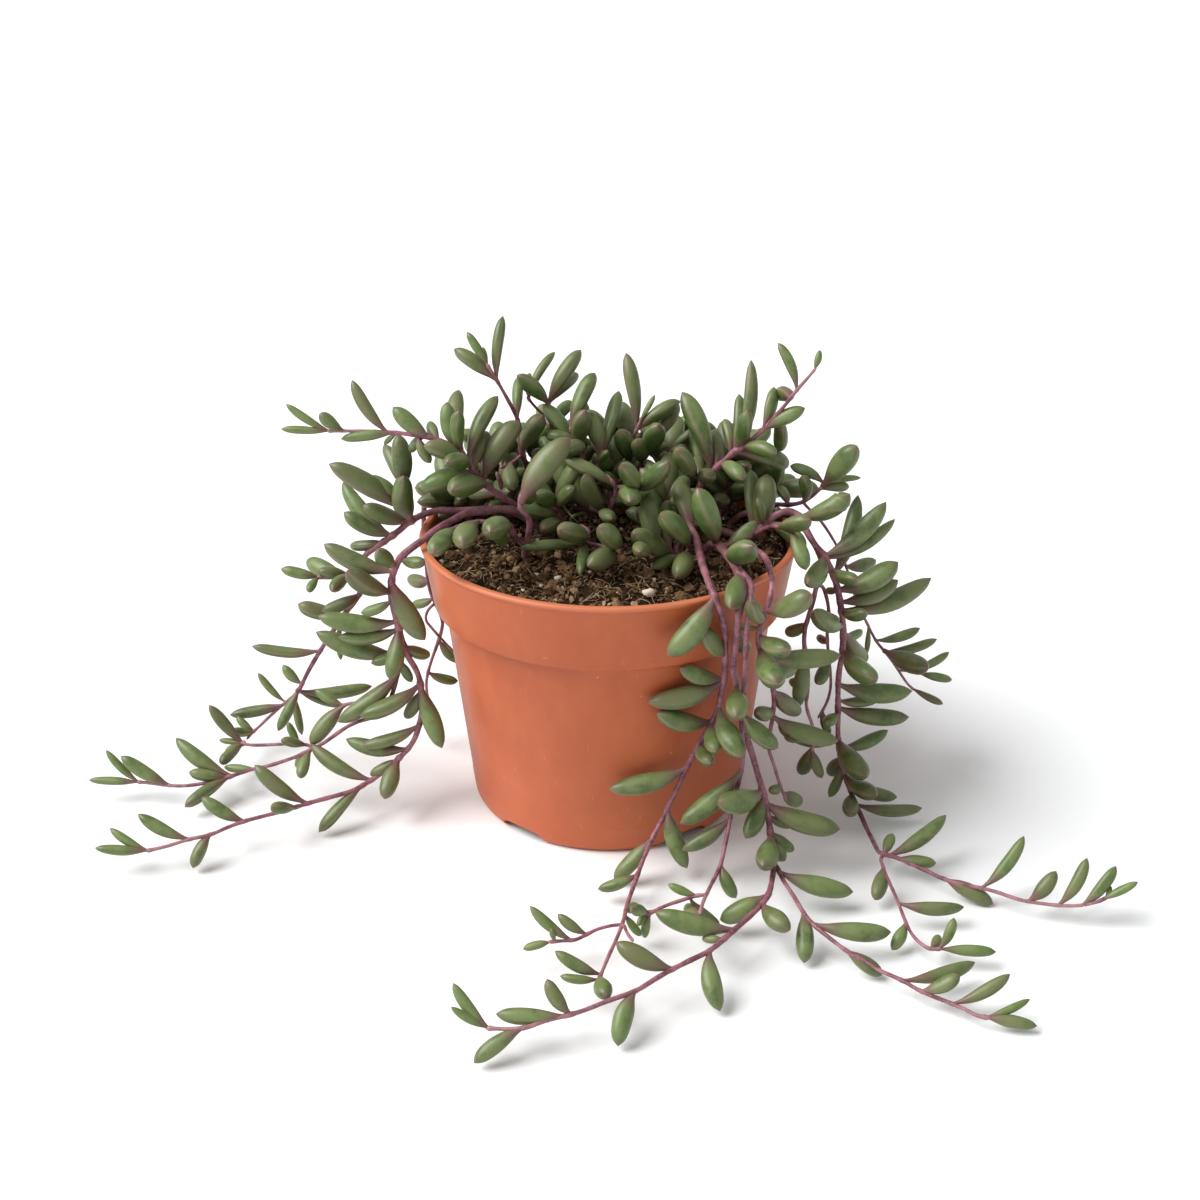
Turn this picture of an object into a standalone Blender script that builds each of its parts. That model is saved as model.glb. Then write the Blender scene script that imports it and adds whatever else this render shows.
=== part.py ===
"""Potted trailing succulent: a 12 cm nursery pot, its soil and the shoots that spill over the rim.

Every shoot is laid out by sights: a point is where a line of sight from one fixed viewpoint meets a
given depth or a given height.  Shoots are then eased apart along those lines until each leaf lies
clear of the other shoots, of the pot and of the table.  Lengths are in millimetres and become
metres when the meshes are written."""
import bpy
import bmesh
import numpy as np
from math import cos, sin, pi, radians, sqrt, hypot, atan2

MM = 0.001
OBJECT = "potted_string_of_beads"

# ---------------------------------------------------------------- driving dimensions, mm
POT_HEIGHT = 92.3
POT_RIM_R = 60.0
POT_BASE_R = 42.5
POT_WALL = 1.3
POT_FLOOR = 1.6
COLLAR_LOW, COLLAR_HIGH = 68.6, 70.6       # the sloped step under the collar
SLOTS = 5
SLOT_WIDTH, SLOT_HEIGHT = 16.5, 3.2
SLOT_PHASE = radians(231.2)
TURN_STEPS = 36
SOIL_GAP = 0.3
SOIL_STEPS = 24
LEAF_SIDES = 4
SMALL_LEAF = 2.5                           # girth below which a leaf has one ring only
STEM_TOLERANCE = 0.38
RELAX_STEPS = 90

# ---------------------------------------------------------------- shoots
# r      stem radius at the root and at the tip, mm
# stems  first the main stem, then its branches; a point is (across, down, depth) as seen from the
#        viewpoint, with H + z in place of the depth for a height above the table, or (None, x, y, z)
# leaves (base across, base down, tip across, tip down, width[, lean]); lean -1 turns the tip
#        towards the viewpoint and +1 away from it, H + z sets the height of the tip
H = 1000.0
SHOOTS = {
"trailing_shoot_left_low": dict(r=(1.35, 0.55), stems=[
  [(552,538,2),(535,522,0),(518,511,-2),(503,509,-3),(488,511,-4),(470,512,-5),(455,519,-8),(436,530,-12),(420,542,-17),(404,554,-18),(396,565,-17),(392,578,-16),(391,595,-15),(395,614,-14),(400,632,-13),(404,647,-13),(410,660,-13),(418,673,-13),(421,690,-14),(422,707,-15),(420,722,-17),(415,738,-19),(408,749,-20),(396,761,-21),(381,774,H+15),(368,782,H+13),(355,790,H+12),(331,797,H+11.5),(309,803,H+11),(290,809,H+11),(268,815,H+10.5),(245,821,H+10),(226,828,H+10),(210,835,H+10),(190,839,H+9.5),(168,846,H+8.5),(146,851,H+7.5)],
  [(403,647,-13),(400,664,-11),(396,682,-11),(390,700,-12),(383,714,-13),(366,719,-13),(350,725,-13),(335,735,-13),(322,744,-13),(308,751,H+19.5),(298,756,H+17),(284,761,H+13.5),(268,766,H+11),(250,770,H+9.5),(232,776,H+9),(215,781,H+8.5),(200,784,H+8),(182,786,H+7.5),(165,785,H+7),(150,783,H+7),(137,782,H+7)],
  [(383,714,-13),(366,706,-10),(352,703,-8),(342,706,-7)],
  [(316,748,H+20.5),(302,744,H+19),(285,744,H+17),(265,745,H+15),(250,745,H+13),(242,743,H+12)],
 ], leaves=[
  (146,852,95,848,11),(136,849,110,828,9),(190,839,138,814,13),(211,835,193,868,14,H+2.2),(245,821,202,797,14),(297,808,272,807,15,-1),(308,803,255,765,16),(363,787,319,832,15,H+2.2),(371,779,311,744,15,1),(392,752,370,775,12,1),(399,757,385,799,18,-1),(410,750,346,739,16,1),(422,725,362,746,15,-1),(420,685,442,748,19,-1),(416,684,360,716,20,-1),(414,690,405,718,14,1),
  (137,783,89,780,9),(138,782,106,750,8),(170,784,121,756,14),(232,775,176,738,15),(228,776,189,772,14,-1),(230,778,185,807,15,H+2),(256,768,224,767,9,1),(343,706,311,745,18,-1),(342,705,315,689,10,1),(388,672,338,722,20,-1),(312,752,301,778,14,-1),(303,753,297,767,8,1),
  (242,743,209,705,12),(243,746,221,764,13,-1),(240,741,219,740,7),(240,745,225,751,6),(308,743,281,740,11,-1),(300,744,288,722,8),
  (395,572,324,544,20,-1),(392,592,347,571,24,-1),(394,622,318,616,20,-1),(394,630,338,637,16,-1),(400,655,316,632,20,-1),(402,648,371,663,12,-1),(397,582,425,640,22,-1),(404,645,430,655,14,1),(396,566,379,550,17,-1),(402,560,425,562,13,1),(400,630,412,602,12,1),(395,628,390,680,20,-1),(392,600,361,613,12,1),(404,660,412,682,10,1),
 ]),
"trailing_shoot_left_high": dict(r=(1.3, 0.5), stems=[
  [(None,-23,8,90.5),(None,-33,8,96),(455,511,6),(440,510,6),(425,514,5),(410,521,4),(400,530,3),(385,541,2),(370,551,2),(362,560,2),(358,575,2),(361,592,3),(350,607,4),(335,628,5),(322,648,6),(310,668,8),(303,682,9),(297,693,10),(285,703,H+17),(270,716,H+13),(262,724,H+11),(252,733,H+9.5),(247,739,H+9)],
  [(358,573,2),(342,576,0),(328,578,-1),(317,577,-2)],
  [(410,521,4),(404,512,2),(400,500,0),(404,490,-2)],
 ], leaves=[
  (320,650,252,646,13),(284,700,258,673,8),(282,703,230,715,13),(303,692,278,731,12,-1),(306,686,283,665,10,1),(300,692,372,686,15,1),(302,694,343,706,10,1),(254,731,231,731,11,-1),(254,730,237,716,8,1),(296,696,302,735,9,1),
  (384,541,350,546,14,1),(345,575,308,560,18,1),(350,575,318,571,14,-1),(318,577,281,569,12),(318,577,309,592,10,-1),(352,575,333,590,15,-1),(361,593,322,611,15,-1),(345,615,298,604,18),(341,620,341,660,8,1),
  (404,510,329,464,22),(390,533,343,482,17,1),(392,534,344,512,17,-1),(410,520,363,505,19,-1),(402,500,368,477,14,1),(412,520,404,476,24,-1),(404,490,398,434,20,-1),(402,490,384,445,14,1),
 ]),
"arching_shoot_upper_left": dict(r=(1.3, 0.45), stems=[
  [(550,534,8),(530,518,4),(516,506,0),(500,495,-3),(482,482,-6),(472,468,-8),(465,457,-9),(458,449,-9),(446,443,-9),(432,438,-9),(415,435,-9),(398,433,-9),(380,432,-9),(362,431,-9),(344,431,-9),(327,431,-9)],
 ], leaves=[
  (327,431,281,429,9),(325,430,286,404,9),(344,431,320,413,14),(388,431,352,380,13),(395,433,341,439,12),(430,437,393,407,17),(398,433,384,445,6,1),
  (466,460,424,446,20,-1),(470,468,447,463,20,-1),(440,441,430,422,11,1),(457,447,447,402,17,1),(460,450,459,390,18,1),(462,453,459,411,17,-1),(468,462,498,396,18,1),(474,470,488,432,17,1),(482,482,519,421,25,-1),(474,474,421,490,22,-1),(486,486,452,490,25,-1),(500,495,468,492,18,1),(418,436,431,463,12,1),(424,437,411,452,10,1),
 ]),
"upright_shoot_left": dict(r=(1.2, 0.45), stems=[
  [(None,-22,24,90.5),(None,-26,22,104),(521,450,18),(520,430,16),(516,415,14),(508,400,12),(499,384,10),(493,374,9),(487,364,8)],
  [(521,455,19),(512,463,16),(500,468,12)],
 ], leaves=[
  (498,380,503,316,13),(496,382,454,349,16),(488,366,467,332,9),(488,364,483,347,5),(518,420,519,377,12,1),(522,452,543,415,22),(521,450,523,424,14,1),(512,463,514,490,16,-1),(500,468,505,440,14,1),
 ]),
"upright_shoot_back_left": dict(r=(1.15, 0.45), stems=[
  [(None,-12,32,90.5),(None,-15,31,108),(551,428,28),(550,412,26),(548,402,24)],
  [(550,420,27),(538,410,25),(527,397,24)],
 ], leaves=[
  (548,402,517,375,18,-1),(549,402,581,350,18),(551,402,578,374,15,-1),(527,397,555,352,11,1),(551,428,572,402,14,1),(551,430,543,408,18,1),(527,398,530,373,8,1),
 ]),
"crown_shoot_centre_left": dict(r=(1.2, 0.45), stems=[
  [(None,-8,20,90.5),(None,-9,18,103),(583,452,14),(576,441,12),(570,428,10)],
  [(None,-8,19,95),(598,465,12),(603,450,10)],
 ], leaves=[
  (570,426,595,373,19,1),(580,448,585,410,20,-1),(598,460,619,391,17,1),(603,455,588,412,18),(600,458,594,436,12,1),(576,441,545,435,14,1),(583,452,565,452,21,-1),(598,465,608,451,10,-1),(590,458,543,404,20,1),
 ]),
"upright_shoot_centre": dict(r=(1.2, 0.45), stems=[
  [(None,6,26,90.5),(None,7,24,104),(630,446,18),(634,436,16),(640,422,14)],
  [(None,7,24,100),(648,452,16),(655,440,15)],
 ], leaves=[
  (636,430,626,353,16),(637,430,680,401,17,-1),(643,418,655,395,6),(652,442,679,404,14,1),(628,448,621,403,20,1),(626,462,620,431,20,-1),(640,462,637,441,18,-1),(652,460,658,425,21,-1),(645,450,650,425,14,1),(655,452,668,446,8,1),
 ]),
"upright_shoot_right": dict(r=(1.25, 0.45), stems=[
  [(None,26,12,90.5),(None,29,10,103),(712,472,4),(724,461,2),(737,450,0),(750,441,-1),(762,431,-2),(775,417,-3),(786,404,-4),(796,391,-4),(806,380,-4),(816,368,-4)],
  [(None,27,11,96),(702,484,2),(694,474,0)],
 ], leaves=[
  (814,370,820,350,7),(796,390,778,343,12),(762,430,774,387,14,1),(792,400,777,396,18,1),(764,431,805,408,15,-1),(778,416,779,451,18,1),(742,447,776,454,17,-1),(737,455,788,466,24,1),
  (738,448,751,360,15),(736,450,747,410,17,-1),(732,452,739,394,14,1),(730,455,724,419,14,1),(710,472,682,392,24),(716,468,713,430,16,1),(702,484,690,426,13,1),(700,484,697,457,14,1),(707,480,705,477,18,-1),(720,464,742,480,18,-1),
  (694,480,678,451,22,-1),
 ]),
"crown_shoot_centre": dict(r=(1.2, 0.5), stems=[
  [(None,2,2,90.5),(609,513,-3),(613,502,-5),(616,490,-6),(611,479,-7)],
  [(609,513,-3),(600,512,-5),(590,512,-6)],
  [(616,490,-6),(626,486,-7),(634,490,-8)],
 ], leaves=[
  (590,512,572,518,22,-1),(597,511,554,455,26,1),(606,510,586,474,19,-1),(616,485,565,460,18,1),(630,488,622,465,21,-1),(633,490,668,462,22,-1),(620,490,630,502,21,-1),(611,480,604,478,8,1),(609,512,612,519,17,-1),(600,512,588,500,14,1),
 ]),
"crown_shoot_front_left": dict(r=(1.2, 0.5), stems=[
  [(None,-26,-14,90.5),(530,520,-22),(518,506,-24),(524,492,-22),(530,478,-20)],
  [(None,-27,-15,92.5),(508,524,-22),(490,522,-24),(470,522,-26),(455,528,-28)],
 ], leaves=[
  (519,505,570,438,27,-1),(512,524,490,532,25,-1),(478,520,463,545,23,-1),(455,528,433,553,22,-1),(522,498,530,500,18,1),(500,523,505,545,14,1),
 ]),
"crown_shoot_front_centre": dict(r=(1.2, 0.5), stems=[
  [(None,-8,-12,90.5),(583,541,-18),(590,532,-20),(580,525,-20)],
  [(583,541,-17),(600,546,-20),(618,548,-22)],
 ], leaves=[
  (582,541,560,530,24,-1),(580,545,520,548,20,-1),(580,528,555,494,20,1),(612,548,588,566,22,-1),(618,548,599,528,22,-1),(600,546,610,545,10,1),(583,541,580,575,12,-1),
 ]),
"hanging_shoot_front": dict(r=(1.3, 0.5), stems=[
  [(None,22,-8,90.5),(684,524,-14),(695,535,-22),(700,556,-32),(705,572,-42),(711,588,-52),(718,605,-56),(723,620,-55),(725,634,-53),(725,655,-51),(725,674,-50),(722,690,-49.5),(719,706,-49),(712,722,-49),(703,738,-49.5),(695,752,-50),(687,767,-50.5),(680,782,-51),(673,797,-52),(664,816,-54),(654,835,-57),(647,850,-61),(640,868,-67),(633,888,-75),(627,905,-84),(623,922,H+11),(616,940,H+10),(609,955,H+10),(602,972,H+10),(598,981,H+10)],
  [(623,922,H+11),(610,926,H+10.5),(595,930,H+10),(586,935,H+10),(575,940,H+9.5),(560,941,H+9.5),(548,942,H+9.5)],
  [(623,922,H+11),(627,933,H+13),(633,941,H+14)],
  [(None,21,-10,93.5),(676,556,-16),(686,553,-19),(690,544,-21)],
  [(676,556,-16),(664,550,-18),(652,548,-20)],
 ], leaves=[
  (690,528,678,480,22,1),(676,556,634,534,24,-1),(680,556,652,568,13,-1),(688,553,676,578,20,-1),(660,549,650,492,22,1),(672,552,668,500,18,1),(652,548,640,552,18,-1),
  (692,545,660,515,25,-1),
  (724,656,704,629,20,-1),(713,597,667,656,24,-1),(722,678,680,668,18,1),(720,680,648,702,22,-1),(712,722,657,713,22,-1),(712,722,716,752,17,-1),(700,742,711,763,17,-1),(719,706,742,757,24,-1),(685,766,609,789,20,-1),(664,806,687,868,18,-1),(653,837,614,879,17,-1),(638,874,598,889,13),
  (600,976,607,996,18,-1),(600,974,555,951,13),(596,982,560,976,10),(586,931,558,914,11),(572,940,530,906,11),(550,942,523,949,9),(556,941,552,928,6),(630,912,636,905,12,1),(628,915,641,936,9,-1),
 ]),
"trailing_shoot_front": dict(r=(1.35, 0.55), stems=[
  [(None,30,-12,90.5),(716,543,-22),(728,556,-32),(738,572,-42),(745,590,-50),(741,604,-55),(738,618,-56),(737,634,-55),(735,650,-53),(733,668,-51.5),(737,684,-51),(740,700,-50.5),(742,718,-50),(747,738,-50),(753,757,-50.5),(758,775,-52),(764,795,-54),(768,815,-57),(771,838,-61),(774,860,H+12),(772,880,H+12),(767,898,H+12),(752,914,H+12),(733,931,H+12),(711,950,H+12),(695,958,H+12),(675,968,H+12),(655,979,H+12),(636,991,H+12),(610,1000,H+11.5),(588,1009,H+11),(569,1015,H+10.5),(548,1020,H+10),(525,1028,H+9.5),(505,1029,H+9),(486,1028,H+9)],
  [(774,860,H+12),(783,880,H+11.5),(793,895,H+11),(805,915,H+10.5),(817,928,H+10),(831,939,H+9),(845,950,H+8),(858,957,H+7),(870,964,H+6.5),(884,973,H+6),(900,979,H+5.5),(920,991,H+5),(940,999,H+4.5),(962,1008,H+4),(978,1016,H+4),(992,1018,H+4)],
  [(738,572,-42),(748,578,-46),(752,590,-52),(750,604,-56),(747,625,-57),(746,645,-56),(745,665,-55),(744,690,-54.5),(741,712,-54.5),(742,735,-54),(743,760,-54),(738,785,-55),(732,806,-57),(729,826,-60),(725,845,-64),(721,864,-69),(713,881,-75),(707,893,H+15),(702,905,H+14),(700,914,H+13)],
  [(706,892,H+15),(692,897,H+14),(676,902,H+13),(660,908,H+12),(650,913,H+11),(640,913,H+10)],
 ], leaves=[
  (736,770,680,824,20,-1),(731,818,682,850,15,-1),(721,864,736,898,14,-1),(698,896,668,884,9),(700,912,688,905,14,1),(650,912,632,908,12,-1),(648,914,638,926,7),(652,914,645,938,9,1),(690,898,720,925,12,1),
  (716,543,697,488,28,-1),(722,548,756,521,13,-1),(728,556,752,546,26,-1),(738,572,730,608,21,-1),(736,634,747,648,18,1),
  (735,684,736,716,22,-1),(742,712,778,748,20,-1),(760,790,718,802,24,-1),(763,795,745,838,18,-1),(770,802,840,829,24),(772,815,795,823,12,1),(770,835,763,866,22,-1),(773,840,785,861,14,-1),(772,830,794,850,13,1),
  (768,894,720,920,20,-1),(765,905,790,930,20,-1),(735,930,655,912,21,-1),(711,952,720,1011,20,H+2.4),(672,967,616,942,20),(636,993,618,1046,20,H+2.4),(571,1014,547,979,15),(566,1016,496,1014,17),(524,1030,474,1063,17,H+2.4),(488,1028,453,983,12),(484,1029,451,1007,9),(724,938,702,938,9,1),(733,932,704,924,8,1),
  (780,872,853,892,20),(803,912,804,963,18,H+2.4),(815,922,891,932,19),(845,950,882,975,16,-1),(903,978,975,962,15,1),(922,990,960,975,16,-1),(952,1003,1010,974,13),(985,1016,1030,999,8),(985,1018,1037,1026,13),
 ]),
"cluster_shoot_right_front": dict(r=(1.15, 0.5), stems=[
  [(None,36,-8,90.5),(760,552,-30),(770,570,-44),(772,588,-52),(768,606,-54),(762,622,-54),(758,640,-53),(762,655,-50),(770,672,-47),(773,690,-45),(774,706,-44),(772,722,-44),(768,745,-44),(774,765,-45),(780,785,-46),(786,800,-47)],
 ], leaves=[
  (762,628,735,624,8,1),(765,618,751,602,20,-1),(768,612,811,594,25,-1),(760,635,788,650,22,-1),(760,648,777,684,26,-1),(764,655,841,655,20),(772,690,800,712,20,1),(773,708,757,712,16,-1),(773,716,838,741,20,-1),(770,735,752,722,12,1),(783,792,800,800,16,1),(779,785,770,790,10,-1),(770,672,797,662,18,1),
 ]),
"spreading_shoot_right": dict(r=(1.25, 0.5), stems=[
  [(None,34,6,90.5),(744,538,0),(757,533,-6),(768,521,-8),(782,512,-8),(797,513,-9),(806,530,-12),(815,545,-14),(824,556,-15),(833,575,-16),(838,590,-17),(841,608,-18),(843,622,-19),(843,638,-19),(842,655,-19),(839,672,-18),(838,690,-18),(838,707,-17),(838,722,-17),(838,738,-17),(840,756,-18),(845,775,-20),(850,790,-23),(857,806,-28),(866,827,-36),(875,845,-46),(880,853,H+9),(895,857,H+8),(911,864,H+7),(927,871,H+6.5),(941,878,H+6),(960,884,H+6),(981,888,H+6),(1000,893,H+6),(1020,900,H+6),(1045,904,H+6),(1067,906,H+6.5),(1085,905,H+7.5)],
  [(879,852,H+9),(884,870,H+8.5),(891,886,H+8),(898,902,H+7.5),(904,918,H+7),(911,933,H+7),(920,943,H+6.5),(930,949,H+6.5),(942,949,H+6.5)],
  [(1085,905,H+7.5),(1097,902,H+9),(1108,897,H+10)],
  [(757,533,-6),(772,526,-14),(788,530,-20),(800,540,-24)],
 ], leaves=[
  (757,535,767,474,23,-1),(752,536,750,470,19,1),(762,528,757,498,12,-1),(775,540,810,520,20,-1),(790,532,806,570,17,-1),(768,524,806,548,17,-1),
  (803,515,850,494,24,-1),(834,576,858,495,18,1),(824,556,886,502,19,-1),(826,558,895,519,13,1),(830,570,856,579,17,-1),(822,556,807,584,20,-1),(838,590,898,562,24,-1),(840,602,898,580,19,1),(842,610,931,578,20,1),(842,612,866,612,16,-1),(836,588,826,590,9,1),
  (843,625,814,612,22,-1),(843,630,866,659,20,1),(842,650,876,680,24,-1),(843,636,862,630,10,1),(839,684,912,691,20,-1),(838,700,880,698,12,1),(838,707,909,717,18),(838,712,825,722,12,-1),(840,741,778,724,22,-1),(838,748,888,730,13,1),(838,740,866,776,24,-1),(845,775,876,795,20,-1),(848,780,897,797,14,1),(840,756,830,772,16,1),(842,765,829,797,12,1),(852,792,848,813,17,-1),(857,804,922,808,14),
  (883,855,893,834,11,1),(888,856,946,815,15,1),(897,858,936,863,14,-1),(882,868,875,900,16,-1),(945,879,993,904,16,-1),(981,887,1024,836,13),(1028,900,1056,871,15),(1058,905,1087,858,13),(1085,905,1116,866,13),(1100,900,1138,882,9),(1105,898,1111,886,5),
  (899,903,964,907,14),(906,922,892,950,13,-1),(930,949,938,936,11,1),(942,949,954,918,11),(942,950,996,952,12),
 ]),
"hanging_shoot_left_back": dict(r=(1.1, 0.45), stems=[
  [(None,-40,34,90.5),(None,-52,29,98),(None,-61,24,95),(428,580,20),(436,604,20),(443,622,20),(438,642,20),(431,662,20),(426,684,21),(430,706,23)],
  [(436,604,20),(424,616,18),(437,634,15),(452,650,16)],
 ], leaves=[
  (428,580,409,577,15,1),(440,640,461,662,11,1),(452,648,470,664,9,1),(428,672,458,681,11,1),(436,604,450,590,12,1),(428,600,412,604,11,1),(430,690,412,705,11,1),(430,704,440,730,10,1),
 ]),
"hanging_shoot_right_back": dict(r=(1.15, 0.45), stems=[
  [(None,47,10,90.5),(None,54,5,95.5),(None,60,-2,96),(822,560,-12),(818,580,-18),(812,605,-20),(804,634,-22),(806,660,-24),(808,690,-24),(806,706,-24),(812,724,-24),(814,738,-24),(812,752,-24)],
  [(818,580,-18),(825,592,-16),(829,612,-16),(827,634,-15),(829,660,-14),(831,684,-14),(827,702,-14),(818,718,-13)],
 ], leaves=[
  (804,650,797,708,17,-1),(830,658,817,683,14,-1),(813,733,784,737,12,1),(810,745,800,773,15,1),(812,750,822,778,12,1),(826,640,818,636,10,1),(808,684,790,680,12,1),(822,710,830,735,10,1),(806,622,786,632,14,1),(828,612,840,622,9,1),
 ]),
"spreading_shoot_far_right": dict(r=(1.15, 0.45), stems=[
  [(None,40,14,90.5),(772,505,8),(788,505,4),(803,502,0),(815,494,-2),(826,482,-2)],
  [(803,502,0),(812,512,0),(824,525,2),(838,548,4),(846,566,6),(852,586,8),(858,605,10),(868,625,12),(876,641,13),(886,653,14),(897,668,15),(906,682,16),(914,690,17)],
  [(897,668,15),(908,671,14),(922,674,13)],
 ], leaves=[
  (822,486,857,446,23,-1),(824,482,845,447,13,1),(826,482,790,466,13,1),(828,481,861,478,7,1),(820,490,849,487,12,1),(803,500,803,476,15,-1),(788,505,778,487,12,1),
  (884,650,928,668,22,-1),(876,640,920,628,11,1),(886,650,937,639,11,1),(910,672,949,652,9,1),(920,674,952,680,10),(912,688,943,704,9),(868,625,866,655,6,1),(846,566,876,560,14,1),
 ]),
}

# Shoots that fall behind the pot, given by their path alone; their leaves follow a spiral.
BACK_SHOOTS = {
"back_shoot_centre": dict(r=(1.35, 0.5), n=22, stems=[
  [(None,5,40,90.5),(None,7,51,97),(None,8,62,98),(None,9,71,85),(None,11,80,55),(None,13,92,24),(None,15,108,9),(None,17,126,6),(None,16,143,6)],
 ], leaves=[]),
"back_shoot_left": dict(r=(1.3, 0.5), n=21, stems=[
  [(None,-18,42,90.5),(None,-24,52,98),(None,-31,61,98),(None,-36,68,82),(None,-41,77,50),(None,-45,90,20),(None,-49,108,8),(None,-48,128,6)],
 ], leaves=[]),
"back_shoot_right": dict(r=(1.3, 0.5), n=19, stems=[
  [(None,24,40,90.5),(None,30,49,98),(None,36,58,98),(None,42,66,82),(None,46,76,48),(None,48,90,19),(None,47,106,8),(None,42,122,6)],
 ], leaves=[]),
"back_shoot_short_left": dict(r=(1.15, 0.5), n=14, stems=[
  [(None,-6,46,90.5),(None,-9,56,98),(None,-11,67,97),(None,-13,76,82),(None,-15,82,60),(None,-14,86,38)],
 ], leaves=[]),
}

# ---------------------------------------------------------------- geometry of the layout
EYE = np.array((-2.8, -472.0, 284.0))      # viewpoint of the measured sights, mm
TILT = radians(24.63)
FOCAL = 1600.0
CT, ST = cos(TILT), sin(TILT)
TABLE_GAP = 0.12
CLEAR = 0.50                               # free space kept between two shoots
LEAF_T = np.array((0.16, 0.34, 0.52, 0.70, 0.86, 0.97))   # stations along a leaf
LEAF_R = np.array((0.42, 0.78, 0.98, 1.00, 0.74, 0.28))   # girth there
RIM_R, RIM_Z = 60.0, 92.3


def soil_top(x, y):
    r2 = (x * x + y * y) / 3025.0
    return (87.4 + 1.5 * (1.0 - r2) + 0.45 * np.sin(0.31 * x + 0.5) * np.cos(0.27 * y)
            + 0.30 * np.sin(0.73 * x - 0.41 * y))


def sight(u, v):
    a, b = (u - 600.0) / FOCAL, (600.0 - v) / FOCAL
    d = np.array((a, CT + b * ST, -ST + b * CT))
    return d / np.linalg.norm(d)


def place(q):
    if q[0] is None:
        return np.array(q[1:4], float)
    d = sight(q[0], q[1])
    if q[2] < 900.0:
        t = (q[2] - EYE[1]) / d[1]
    else:
        t = (q[2] - H - EYE[2]) / d[2]
    return EYE + t * d


def screen(p):
    """Sight of points p (n, 3) and their distance straight ahead of the viewpoint."""
    d = np.atleast_2d(p) - EYE
    f = d[:, 1] * CT - d[:, 2] * ST
    up = d[:, 1] * ST + d[:, 2] * CT
    return np.column_stack((600 + FOCAL * d[:, 0] / f, 600 - FOCAL * up / f)), f


def fair(pts, step):
    """Smooth curve through pts, read off every `step` mm."""
    p = np.array(pts, float)
    if len(p) == 2:
        p = np.array((p[0], (p[0] + p[1]) / 2, p[1]))
    q = np.vstack((2 * p[0] - p[1], p, 2 * p[-1] - p[-2]))
    out = []
    for i in range(1, len(q) - 2):
        a, b, c, d = q[i - 1], q[i], q[i + 1], q[i + 2]
        for k in range(8):
            t = k / 8.0
            out.append(0.5 * (2 * b + (c - a) * t + (2 * a - 5 * b + 4 * c - d) * t * t
                              + (3 * b - a - 3 * c + d) * t ** 3))
    out.append(q[-2])
    out = np.array(out)
    for _ in range(6):
        out[1:-1] = 0.25 * out[:-2] + 0.5 * out[1:-1] + 0.25 * out[2:]
    s = np.concatenate(((0,), np.cumsum(np.linalg.norm(np.diff(out, axis=0), axis=1))))
    n = max(2, int(round(s[-1] / step)))
    w = np.linspace(0, s[-1], n + 1)
    return np.column_stack([np.interp(w, s, out[:, k]) for k in range(3)])


# Roots and heads of the short shoots that fill the crown, mm; each is nudged to where most leaves fit.
FILLS = {
    "crown_fill_far_left": (-46, 16, 106), "crown_fill_left": (-36, 14, 112), "crown_fill_left_back": (-31, 30, 113),
    "crown_fill_inner_left": (-18, 18, 115), "crown_fill_centre": (-2, 16, 115), "crown_fill_centre_back": (-3, 36, 117),
    "crown_fill_inner_right": (15, 22, 116), "crown_fill_right_back": (15, 40, 116), "crown_fill_right": (34, 24, 114),
    "crown_fill_far_right": (46, 18, 107), "crown_fill_back_left": (-26, 40, 110), "crown_fill_back_right": (31, 38, 111),
    "crown_fill_front_left": (-12, 4, 108), "crown_fill_front_right": (13, 6, 109),
}


# outline of pot and soil as one filled figure in (radius, height)
FIGURE = np.array(((0, 0), (42.6, 0), (45.2, 2.6), (52.5, 66.5), (56.4, 72.3), (57.8, 80.0), (59.9, 91.0),
                   (60.0, 92.3), (57.8, 92.5), (56.9, 87.6), (40.0, 88.8), (20.0, 89.7), (0, 90.0)))


def pot_clearance(p):
    """Signed distance of points p (n, 3) from pot and soil, positive outside."""
    r = np.hypot(p[:, 0], p[:, 1])
    z = p[:, 2]
    q = np.column_stack((r, z))
    best = np.full(len(q), 1e9)
    inside = np.zeros(len(q), bool)
    n = len(FIGURE)
    for i in range(n):
        a, b = FIGURE[i], FIGURE[(i + 1) % n]
        e = b - a
        if i != n - 1:
            t = np.clip(((q - a) @ e) / (e @ e), 0, 1)
            best = np.minimum(best, np.linalg.norm(q - (a + t[:, None] * e), axis=1))
        cond = (a[1] > z) != (b[1] > z)
        with np.errstate(divide="ignore", invalid="ignore"):
            xi = a[0] + (z - a[1]) * e[0] / (e[1] if e[1] else 1e-9)
        inside ^= cond & (r < xi)
    return np.where(inside, -best, best)


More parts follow.
